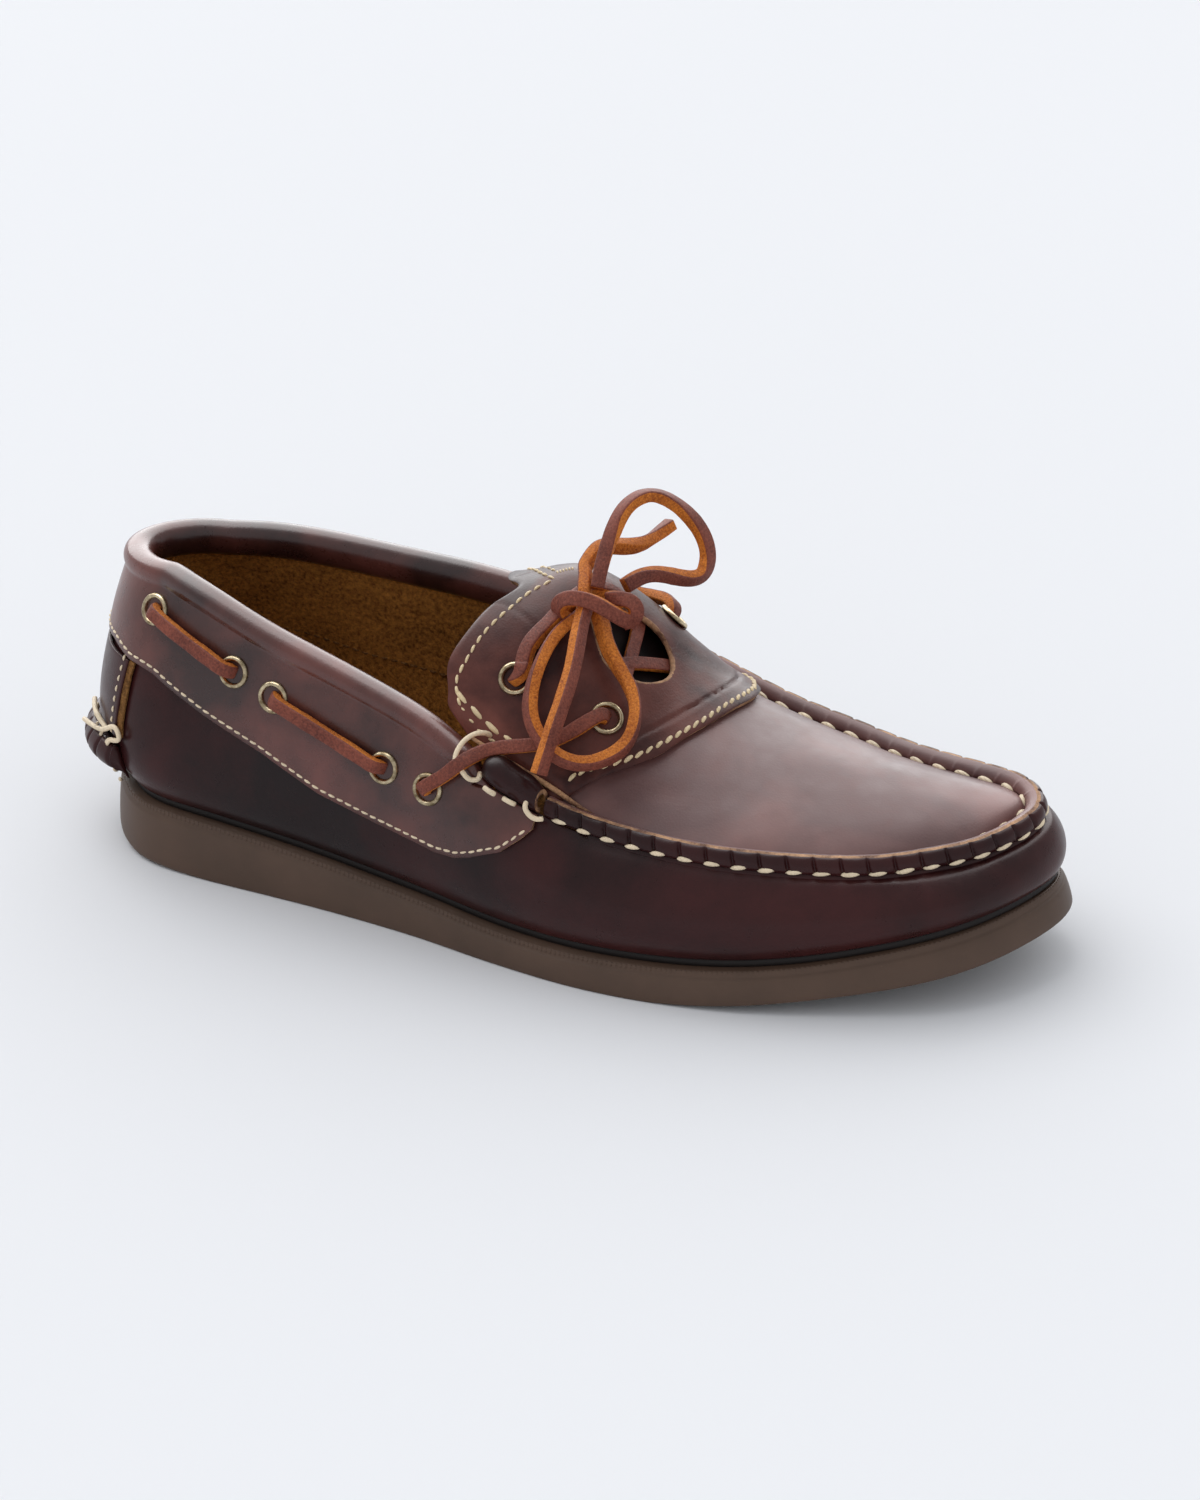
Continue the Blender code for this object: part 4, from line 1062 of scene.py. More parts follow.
# ---- geometry node tools
class Tree(Wiring):
    """One Geometry Nodes tree."""

    def __init__(self, name: str, sockets: dict[str, tuple[str, object]]) -> None:
        """Start a tree with its named inputs.

        Args:
            name: Name of the tree.
            sockets: Socket type and default of each named input.
        """
        super().__init__(bpy.data.node_groups.new(name, "GeometryNodeTree"))
        face = self.tree.interface
        face.new_socket("Geometry", in_out="INPUT", socket_type="NodeSocketGeometry")
        self.identifiers: dict[str, str] = {}
        for label, (kind, default) in sockets.items():
            made = face.new_socket(label, in_out="INPUT", socket_type=kind)
            if default is not None:
                made.default_value = default
            self.identifiers[label] = made.identifier
        face.new_socket("Geometry", in_out="OUTPUT", socket_type="NodeSocketGeometry")
        self.inputs = self.tree.nodes.new("NodeGroupInput").outputs
        self.output = self.tree.nodes.new("NodeGroupOutput")

    def vector(self, **axes: object) -> Socket:
        """Vector from its axes, 0 where none is given."""
        return self.add("ShaderNodeCombineXYZ", axes).outputs[0]

    def named(self, name: str) -> Socket:
        """Vector stored with each point."""
        node = self.add("GeometryNodeInputNamedAttribute", {"Name": name}, data_type="FLOAT_VECTOR")
        return node.outputs["Attribute"]

    def close(self, geometry: Socket) -> None:
        """Realize the instances, set the material and end the tree.

        Args:
            geometry: The last geometry.
        """
        whole = self.add("GeometryNodeRealizeInstances", {"Geometry": geometry}).outputs["Geometry"]
        smooth = self.add("GeometryNodeSetShadeSmooth", {"Geometry": whole}).outputs["Geometry"]
        dyed = self.add("GeometryNodeSetMaterial", {"Geometry": smooth, "Material": self.inputs["Material"]})
        self.feed(self.output.inputs["Geometry"], dyed.outputs["Geometry"])

    def run(self, item: Piece, **values: object) -> Piece:
        """Apply the tree to an object and keep the plain mesh.

        Args:
            item: Object whose mesh is the tree's geometry.
            values: Input values, by name with _ for a space.

        Returns:
            The same object with its new mesh.
        """
        modifier = item.modifiers.new("repeat", "NODES")
        modifier.node_group = self.tree
        for label, value in values.items():
            modifier[self.identifiers[label.replace("_", " ")]] = value
        return baked(item)


def facing(tree: Tree, along: Socket, out: Socket) -> Socket:
    """Rotation whose Z points out of the leather and whose X runs along the seam.

    Args:
        tree: Tree to add to.
        along: Direction of the seam.
        out: Direction out of the leather.

    Returns:
        The rotation.
    """
    first = tree.add("FunctionNodeAlignRotationToVector", {"Vector": out}, axis="Z")
    inputs = {"Rotation": first.outputs["Rotation"], "Vector": along}
    second = tree.add("FunctionNodeAlignRotationToVector", inputs, axis="X", pivot_axis="Z")
    return second.outputs["Rotation"]


def stitch_tree() -> Tree:
    """Tree that lays stitches along a path whose points know which way is out.

    Returns:
        The tree.
    """
    tree = Tree("stitches", {
        "Pitch": ("NodeSocketFloat", 0.003),
        "Length": ("NodeSocketFloat", 0.0024),
        "Thickness": ("NodeSocketFloat", 0.0008),
        "Arch": ("NodeSocketFloat", 0.0005),
        "Slant": ("NodeSocketFloat", 0.0),
        "Wander": ("NodeSocketFloat", 0.06),
        "Seed": ("NodeSocketInt", 3),
        "Material": ("NodeSocketMaterial", None),
    })
    inputs = tree.inputs
    path = tree.add("GeometryNodeMeshToCurve", {"Mesh": inputs["Geometry"]}).outputs["Curve"]
    even = tree.add("GeometryNodeResampleCurve", {"Curve": path, "Length": inputs["Pitch"]}, mode="LENGTH")
    half = tree.math("MULTIPLY", inputs["Length"], 0.5)
    back = tree.math("MULTIPLY", inputs["Length"], -0.5)
    dip = tree.math("MULTIPLY", inputs["Thickness"], -0.55)
    bow = tree.add("GeometryNodeCurveQuadraticBezier", {
        "Resolution": 7, "Start": tree.vector(X=back, Z=dip), "Middle": tree.vector(Z=inputs["Arch"]),
        "End": tree.vector(X=half, Z=dip)}).outputs["Curve"]
    share = tree.add("GeometryNodeSplineParameter", {}).outputs["Factor"]
    swell = tree.math("SINE", tree.math("MULTIPLY", share, math.pi))
    swell = tree.math("MULTIPLY_ADD", tree.math("POWER", swell, 0.55), 0.42, 0.10)
    radius = tree.math("MULTIPLY", swell, inputs["Thickness"])
    round_ = tree.add("GeometryNodeCurvePrimitiveCircle", {"Resolution": 7, "Radius": 1.0}).outputs["Curve"]
    bead = tree.add("GeometryNodeCurveToMesh",
                    {"Curve": bow, "Profile Curve": round_, "Scale": radius, "Fill Caps": True})
    along = tree.add("GeometryNodeInputTangent", {}).outputs["Tangent"]
    points = tree.add("GeometryNodeInstanceOnPoints", {
        "Points": even.outputs["Curve"], "Instance": bead.outputs["Mesh"],
        "Rotation": facing(tree, along, tree.named("out"))})
    less = tree.math("MULTIPLY", inputs["Wander"], -1.0)
    stray = tree.add("FunctionNodeRandomValue", {2: less, 3: inputs["Wander"], "Seed": inputs["Seed"]})
    turn = tree.vector(Z=tree.math("ADD", stray.outputs[1], inputs["Slant"]))
    turned = tree.add("GeometryNodeRotateInstances", {
        "Instances": points.outputs["Instances"], "Rotation": turn, "Local Space": True}).outputs["Instances"]
    spread = {0: (0.92, 0.88, 0.9), 1: (1.06, 1.12, 1.1), "Seed": inputs["Seed"]}
    sizes = tree.add("FunctionNodeRandomValue", spread, data_type="FLOAT_VECTOR").outputs[0]
    sized = tree.add("GeometryNodeScaleInstances", {"Instances": turned, "Scale": sizes}).outputs["Instances"]
    tree.close(sized)
    return tree


def copies_tree() -> Tree:
    """Tree that sets a copy of a made part on points that know out and along.

    Returns:
        The tree.
    """
    tree = Tree("copies", {
        "Part": ("NodeSocketObject", None),
        "Material": ("NodeSocketMaterial", None),
    })
    part = tree.add("GeometryNodeObjectInfo", {"Object": tree.inputs["Part"], "As Instance": True})
    points = tree.add("GeometryNodeMeshToPoints", {"Mesh": tree.inputs["Geometry"]}).outputs["Points"]
    placed = tree.add("GeometryNodeInstanceOnPoints", {
        "Points": points, "Instance": part.outputs["Geometry"],
        "Rotation": facing(tree, tree.named("along"), tree.named("out"))})
    tree.close(placed.outputs["Instances"])
    return tree


def mark_points(item: Piece, name: str, vectors: Points) -> None:
    """Store a vector with each vertex."""
    layer = item.data.attributes.new(name, "FLOAT_VECTOR", "POINT")
    layer.data.foreach_set("vector", np.asarray(vectors, dtype=np.float32).ravel())


@dataclass
class Sewing:
    """Needlework: rows of stitches on any path."""

    tree: Tree = field(default_factory=stitch_tree)

    def row(self, name: str, path: Points, out: Points, pitch: float, length: float, thick: float,
            slant: float = 0.0, wander: float = 0.05, arch: float = 0.5, seed: int = 3,
            thread: Finish = Finish.FINE_THREAD) -> Piece:
        """Sew one row.

        Args:
            name: Name of the piece.
            path: Points of the seam in millimetres.
            out: Direction out of the leather at each point.
            pitch: Distance between stitches.
            length: Length of a stitch.
            thick: Thickness of the thread.
            slant: Turn of each stitch out of the seam's line, in radians.
            wander: Uneven turn of the stitches, in radians.
            arch: Height of a stitch's middle, in thread thicknesses.
            seed: Seed of the unevenness.
            thread: Finish of the thread.

        Returns:
            The piece, not dressed yet.
        """
        edges = [(i, i + 1) for i in range(len(path) - 1)]
        item = mesh_object(name, path, [], edges=edges)
        mark_points(item, "out", out)
        return self.tree.run(item, Pitch=pitch * MM, Length=length * MM, Thickness=thick * MM,
                             Arch=arch * thick * MM, Slant=slant, Wander=wander, Seed=seed,
                             Material=stuff(thread))


def joined(name: str, items: Sequence[Piece]) -> Piece:
    """Join finished meshes into one object.

    Args:
        name: Name of the object.
        items: Meshes, which are taken away.

    Returns:
        The linked object.
    """
    work = bmesh.new()
    for item in items:
        work.from_mesh(item.data)
    mesh = bpy.data.meshes.new(name)
    work.to_mesh(mesh)
    work.free()
    mesh.shade_smooth()
    for item in items:
        bpy.data.objects.remove(item)
    return link(bpy.data.objects.new(name, mesh))


def thick_thread(knots: Sequence, thickness: float) -> Piece:
    """Round thread on a smooth curve through its knots.

    Args:
        knots: Points to pass through.
        thickness: Thickness of the thread.

    Returns:
        The piece, not dressed yet.
    """
    route = smooth_route(knots, 0.4)
    tangent = unit(np.gradient(route, axis=0))
    side = unit(np.cross(tangent, np.array([0.35, -0.8, 0.5])))
    up = np.cross(side, tangent)
    swell = (0.5 * thickness * (1.0 + 0.08 * ripple(route, 5.0, 3.0)))[:, None]
    return swept("thread", oval_rings(route, side * swell, up * swell, 10))


# ---- the pieces
def smoothstep(value: Points, low: float, high: float) -> Points:
    """Soft step from 0 at low to 1 at high."""
    share = np.clip((np.asarray(value, float) - low) / (high - low), 0.0, 1.0)
    return share * share * (3.0 - 2.0 * share)


def stance(origin: Sequence[float], offsets: Table) -> Points:
    """Points given as offsets right, up and near from an origin.

    Args:
        origin: Point in millimetres from the heel.
        offsets: Millimetres to the right, up and nearer, for someone who looks at the lateral side.

    Returns:
        The points.
    """
    turn, lift = math.radians(23.65), math.radians(27.45)
    right = np.array([math.cos(turn), math.sin(turn), 0.0])
    near = np.array([math.sin(turn) * math.cos(lift), -math.cos(turn) * math.cos(lift), math.sin(lift)])
    up = np.cross(near, right)
    return np.asarray(origin, float) + np.asarray(offsets, float) @ np.array([right, up, near])


def plate(name: str, layers: Sequence[Points], kinds: Sequence[int], across: int = 12) -> Piece:
    """Solid of stacked closed rings, capped from side to side.

    Args:
        name: Name of the object.
        layers: Rings from the bottom up, each starting at the heel.
        kinds: Material of the bottom cap, each band of the side and the top cap.
        across: Faces from side to side in the caps.

    Returns:
        The linked object.
    """
    layers = np.asarray(layers, float)
    count, around, _ = layers.shape
    faces: list[Face] = []
    numbers: list[int] = []
    for i in range(count - 1):
        faces += hoop(i * around, (i + 1) * around, around)
        numbers += [kinds[i + 1]] * around
    points = [layers.reshape(-1, 3)]
    total = count * around
    half = around // 2
    for level, kind in ((0, kinds[0]), (count - 1, kinds[-1])):
        base = level * around
        rows = [[base] * (across + 1)]
        for j in range(1, half):
            left, right = layers[level, j], layers[level, around - j]
            share = np.linspace(0.0, 1.0, across + 1)[1:-1, None]
            points.append(left + (right - left) * share)
            rows.append([base + j, *range(total, total + across - 1), base + around - j])
            total += across - 1
        rows.append([base + half] * (across + 1))
        for here, there in zip(rows, rows[1:]):
            for k in range(across):
                corner = list(dict.fromkeys((here[k], there[k], there[k + 1], here[k + 1])))
                faces.append(tuple(corner))
                numbers.append(kind)
    return clean(mesh_object(name, np.vstack(points), faces, numbers), 0.005)


# Corners of one tooth of the lip: along the lip, across it and out of it.
TOOTH = (
    (-0.45, -0.6, 0.0), (0.45, -0.6, 0.0), (0.45, 0.6, 0.0), (-0.45, 0.6, 0.0), (-0.2, -0.5, 0.35),
    (0.2, -0.5, 0.35), (0.2, 0.5, 0.3), (-0.2, 0.5, 0.3),
)
TOOTH_FACES = ((4, 5, 6, 7), (0, 1, 5, 4), (1, 2, 6, 5), (2, 3, 7, 6), (3, 0, 4, 7), (3, 2, 1, 0))


@dataclass
class Sole:
    """Wedge outsole with a toothed lip, dark band and footbed."""

    last: Last
    heel_bevel: float = 4.0
    edge_break: float = 0.7
    bevel_end: float = 45.0
    flare_heel: float = 1.4
    flare_toe: float = 3.4
    lip: float = 1.5
    lip_step: float = 0.6
    tooth_pitch: float = 1.5
    footbed: float = 2.6
    columns_per_station: int = 8

    def whole_ring(self) -> Points:
        """Columns all the way round, heel first."""
        return np.arange(RING * self.columns_per_station) / self.columns_per_station

    def flare(self, column: Points) -> Points:
        """How far the side leans in at its top."""
        x = self.last.outline(column)[0][:, 0]
        return np.interp(x, [0.0, 150.0, LENGTH], [self.flare_heel, 1.0, self.flare_toe])

    def outsole(self) -> None:
        """Rubber wedge with a rounded heel, leaning sides and a stepped lip."""
        last, column = self.last, self.whole_ring()
        x = last.outline(column)[0][:, 0]
        bevel = np.interp(x, (0.0, self.bevel_end), (self.heel_bevel, self.edge_break))
        flare = self.flare(column)
        top = last.sole_top(column)
        bottom = last.sole_bottom(x)
        low = last.ring(column, bevel, bottom)
        low[:, 2] = last.sole_bottom(low[:, 0])
        layers = [low]
        for turn in (25.0, 50.0, 75.0):
            inset = bevel * (1.0 - math.sin(math.radians(turn)))
            layers.append(last.ring(column, inset, bottom + bevel * (1.0 - math.cos(math.radians(turn)))))
        step = top - self.lip - self.lip_step
        for share in (0.0, 0.25, 0.5, 0.75, 0.93):
            height = (bottom + bevel) * (1.0 - share) + step * share
            layers.append(last.ring(column, 0.7 * flare * share - 0.25 * math.sin(math.pi * share), height))
        side, edge = 0.7 * flare, flare + self.lip_step
        for inset, height in ((side + 0.1, step - 0.15), (side + self.lip_step, step + 0.15),
                              (side + self.lip_step + 0.05, top - self.lip), (edge - 0.2, top - 0.35),
                              (edge + 0.1, top)):
            layers.append(last.ring(column, inset, height))
        item = plate("sole_wedge", layers, [1, 1, *[0] * (len(layers) - 2), 0], 10)
        dress(item, [Finish.RUBBER, Finish.TREAD], ["outsole"])

    def lip_teeth(self) -> None:
        """Fine teeth moulded along the lip."""
        last = self.last
        tooth = mesh_object("tooth", np.array(TOOTH) + [HALF_LENGTH, 0.0, 0.0], TOOTH_FACES)
        around = last.arcs[-1]
        count = int(around / self.tooth_pitch)
        arc = np.arange(count) * around / count
        column = np.interp(arc, last.arcs, np.arange(RING + 1))
        flare = self.flare(column)
        place = last.ring(column, flare + self.lip_step - 0.05, last.sole_top(column) - 0.8)
        item = mesh_object("sole_lip_teeth", place, [])
        mark_points(item, "out", -last.inward(column))
        mark_points(item, "along", last.ring(column + 0.01, 0.0, 0.0) - last.ring(column, 0.0, 0.0))
        copies_tree().run(item, Part=tooth, Material=stuff(Finish.RUBBER))
        bpy.data.objects.remove(tooth)
        dress(item, [Finish.RUBBER])

    def band(self) -> None:
        """Dark band between sole and upper: rubber whose near-black tone is partly painted shade of the gap.
        """
        last, column = self.last, self.whole_ring()
        top = last.sole_top(column)
        low, high = top + last.gap, top + last.gap + last.midsole
        layers = [last.ring(column, inset, height)
                  for inset, height in ((4.7, low), (4.4, low + 0.3), (4.4, high - 0.3), (4.7, high))]
        dress(plate("midsole_band", layers, [0] * 5, 6), [Finish.BAND], ["midsole"])

    def sock(self) -> None:
        """Footbed with a soft rim."""
        last, column = self.last, self.whole_ring()
        base = last.sole_top(column) + last.midsole + 2.0 * last.gap
        layers = [last.ring(column, last.feather_inset + inset, base + height)
                  for inset, height in ((2.9, 0.0), (2.7, self.footbed - 0.6), (3.1, self.footbed - 0.1),
                                        (4.1, self.footbed))]
        dress(plate("footbed", layers, [0] * 5, 16), [Finish.FOOTBED], ["insole"])

    def build(self) -> None:
        """Build every piece of the sole."""
        self.outsole()
        self.lip_teeth()
        self.band()
        self.sock()


# Section of the hand-sewn ridge: inset, height, depth of the puckers there, and
# finish of the strip that follows (0 wall, 1 cut edge, 2 plug).
RIDGE = (
    (0.55, -0.3, 0.1, 0), (-0.1, 0.35, 0.55, 0), (-0.45, 1.2, 0.9, 0), (-0.45, 2.2, 1.0, 0),
    (-0.2, 3.2, 1.0, 0), (0.3, 4.1, 0.85, 0), (0.95, 4.75, 0.55, 0), (1.5, 4.95, 0.35, 1),
    (2.6, 5.15, 0.15, 2), (3.1, 5.0, 0.1, 2), (4.0, 4.7, 0.1, 2), (4.9, 4.0, 0.15, 2), (5.5, 3.1, 0.3, 2),
    (5.9, 2.1, 0.4, 2), (5.6, 1.0, 0.2, 2), (3.0, 0.0, 0.0, 0),
)


@dataclass
class Upper:
    """Wall, plug and the hand-sewn ridge between them."""

    last: Last
    sewing: Sewing
    leather: float = 2.0
    throat: float = 172.0
    throat_corner: float = 150.0
    ridge_back: float = 156.0
    pleat: float = 7.7
    wall_rows: int = 30
    wall_steps: int = 14
    plug_columns: int = 64

    def wall(self) -> None:
        """Side leather all the way round with its suede lining."""
        last = self.last
        column = np.arange(RING * self.wall_steps) / self.wall_steps
        rows = []
        for rise in np.linspace(0.0, 1.0, self.wall_rows + 1):
            place = last.wall(column, rise)
            x = place[:, 0]
            soft = ripple(place, 46.0, 2.0) * 0.45 + ripple(place, 17.0, 5.0) * 0.12
            fade = min(1.0, 6.0 * rise) * min(1.0, 6.0 * (1.0 - rise) + 0.05)
            forefoot = smoothstep(x, self.throat - 25.0, self.throat + 10.0)
            pinch = 0.9 * math.exp(-((1.0 - rise) / 0.07) ** 2) * forefoot
            rows.append(last.wall_layer(column, rise, soft * fade - 0.35 - pinch))
        rows[0][:, 2] = last.wall(column, 0.0)[:, 2]
        item = thicken(sheet("upper_wall", np.stack(rows, axis=1), True), self.leather - 0.35, 0.25, inside=1)
        dress(item, [Finish.WALL, Finish.LINING], ["upper"])

    def plug(self) -> None:
        """Top leather of the forefoot with its lining."""
        last = self.last
        across = np.linspace(-1.0, 1.0, self.plug_columns + 1)
        back = self.throat - (self.throat - self.throat_corner) * (1.0 - smoothstep(across, -0.82, -0.66))
        back = last.station(back)
        face = []
        for share in np.linspace(0.0, 1.0, 110):
            place = back + (STATIONS - back) * share
            point = last.instep(place, across)
            soft = ripple(point, 38.0, 1.0) * 0.35 + ripple(point, 15.0, 4.0) * 0.10
            edge = np.clip((1.0 - np.abs(across)) * 9.0, 0.0, 1.0)
            face.append(last.instep_layer(place, across, soft * edge - 0.2))
        item = thicken(sheet("upper_plug", np.array(face)), self.leather - 0.3, 0.2, rim=2, inside=1)
        # The plug finish carries a painted reflection: its light tones stand for the pale sheen on top.
        dress(item, [Finish.PLUG, Finish.LINING, Finish.EDGE], ["upper"])

    def ledge(self) -> None:
        """Strip of leather under the ridge, from the wall to the plug."""
        last = self.last
        column = self.seam_columns(self.throat - 2.0, 260)
        low = last.wall(column, 1.0) - UP * 0.9
        high = last.plug_edge(column) - UP * 0.4
        face = np.stack([low, (low + high) / 2.0, high], axis=1)
        item = thicken(sheet("upper_ledge", face), 1.4, 0.0)
        dress(item, [Finish.WALL])

    def seam_columns(self, back: float, count: int, medial: float = 0.0) -> Points:
        """Columns from the lateral side round the toe, evenly spaced along the seam.

        Args:
            back: Rear section.
            count: Number of places.
            medial: Rear section on the medial side, if it differs.

        Returns:
            Places on the ring.
        """
        first = float(self.last.station(back))
        column = np.linspace(first, RING - float(self.last.station(medial or back)), 900)
        length = arc_lengths(self.last.wall(column, 1.0))
        return np.interp(np.linspace(0.0, length[-1], count), length, column)

    def ridge(self) -> None:
        """Standing ridge: pleated outer face, cut edge on top, plug side within."""
        last = self.last
        column = self.seam_columns(self.ridge_back, 1500)
        top = last.wall(column, 1.0)
        inward = last.inward(column)
        along = arc_lengths(top)
        sections = []
        for inset, up, depth, _ in RIDGE:
            lean = along + 0.22 * (up - 2.5) + 0.25 * ripple(top, 31.0, 8.0)
            turn = np.mod(lean / self.pleat, 1.0)
            crease = np.exp(-((turn - 0.5) / 0.07) ** 2)
            swell = 0.35 * np.sin(math.pi * np.mod(turn + 0.5, 1.0)) - 0.2
            push = depth * (swell - 0.95 * crease) + 0.12 * ripple(top, 9.0, up)
            lift = up - 0.25 * depth * crease
            sections.append(top + inward * (inset - push)[:, None] + UP * lift[:, None])
        item = swept("sewn_ridge", np.stack(sections, axis=1), kinds=[kind for *_, kind in RIDGE], caps=1)
        dress(item, [Finish.WALL, Finish.EDGE, Finish.PLUG], ["moc_ridge"])

    def seam(self) -> None:
        """Hand stitches on both sides of the ridge."""
        last = self.last
        column = self.seam_columns(self.ridge_back + 5.0, 700)
        top = last.wall(column, 1.0)
        inward = last.inward(column)
        outer, out = top - inward * 0.25 + UP * 0.75, -inward + UP * 0.3
        rows = [self.sewing.row("outer_seam", outer, out, self.pleat, 5.9, 1.6, 0.14, 0.07)]
        column = self.seam_columns(self.throat - 11.0, 600, self.throat + 8.0)
        inward = last.inward(column)
        inner, out = last.wall(column, 1.0) + inward * 6.3 + UP * 2.3, UP + inward * 0.5
        rows.append(self.sewing.row("inner_seam", inner, out, self.pleat, 5.6, 1.6, -0.12, 0.07, 0.45, 5))
        dress(joined("moc_stitches", rows), [Finish.THREAD])

    def lining_seam(self) -> None:
        """Faint row of stitches inside the quarters."""
        last = self.last
        x = np.linspace(24.0, 104.0, 80)
        rise = np.interp(x, (24.0, 42.0, 64.0, 88.0, 104.0), (0.55, 0.53, 0.485, 0.47, 0.46))
        made = []
        for side in Side:
            column = last.column(x, side)
            path, out = last.wall_layer(column, rise, -2.3), -last.wall_normal(column, rise)
            made.append(self.sewing.row("lining_row", path, out, 3.1, 2.5, 0.7, 0.05))
        dress(joined("lining_stitches", made), [Finish.STRIP])

    def build(self) -> None:
        """Build every piece of the upper."""
        self.lining_seam()
        self.wall()
        self.plug()
        self.ledge()
        self.ridge()
        self.seam()


# Edges of the saddle: place across, rear section and front section.
STAY = (
    (-0.99, 127.0, 157.5), (-0.96, 120.6, 159.5), (-0.905, 116.4, 162.5), (-0.8, 111.6, 168.5),
    (-0.62, 107.8, 177.0), (-0.4, 106.8, 182.3), (-0.18, 108.6, 186.3), (0.0, 113.0, 188.6),
    (0.18, 108.6, 190.3), (0.4, 106.8, 191.6), (0.62, 107.8, 190.8), (0.8, 111.0, 188.2),
    (0.905, 116.0, 185.5), (0.96, 120.6, 183.5), (0.99, 127.0, 182.0),
)
# Paths on the instep: section and place across.
KEYHOLE = (
    (134.0, -0.05), (142.0, 0.07), (151.0, 0.19), (160.0, 0.22), (167.0, 0.13), (169.3, -0.04),
    (165.5, -0.22), (159.0, -0.33), (150.0, -0.38), (142.0, -0.26),
)
CREASE = ((166.0, -0.72), (174.4, -0.41), (179.4, -0.11), (183.5, 0.31), (183.0, 0.62), (180.0, 0.8))
LAPS = (((110.0, -0.2), (116.9, -0.29), (128.5, -0.46)), ((110.0, 0.22), (117.5, 0.32), (128.0, 0.5)))
FRONT_ROW = (
    (188.6, 0.61), (189.0, 0.37), (186.7, 0.04), (183.9, -0.2), (180.1, -0.39), (176.0, -0.56),
    (171.4, -0.69), (166.2, -0.78), (161.4, -0.84), (157.8, -0.9),
)
FAR_ROW = ((182.0, 0.9), (185.6, 0.8), (188.6, 0.61))
WING_ROW = (
    (122.8, -0.04), (118.0, -0.2), (114.6, -0.39), (113.4, -0.55), (114.4, -0.71), (115.8, -0.82),
    (120.0, -0.9),
)
SECOND_ROW = tuple((x + 4.0, -0.97 * across) for x, across in WING_ROW[1:])
HAND_ROW = ((119.6, 0.878), (125.6, 0.902), (131.0, 0.912), (137.6, 0.91))
SMALL_ROW = ((122.0, 0.918), (127.6, 0.944), (133.0, 0.945))


def mirror(table: Table) -> tuple[tuple[float, float], ...]:
    """Path on the other side of the instep."""
    return tuple((x, -across) for x, across in table)


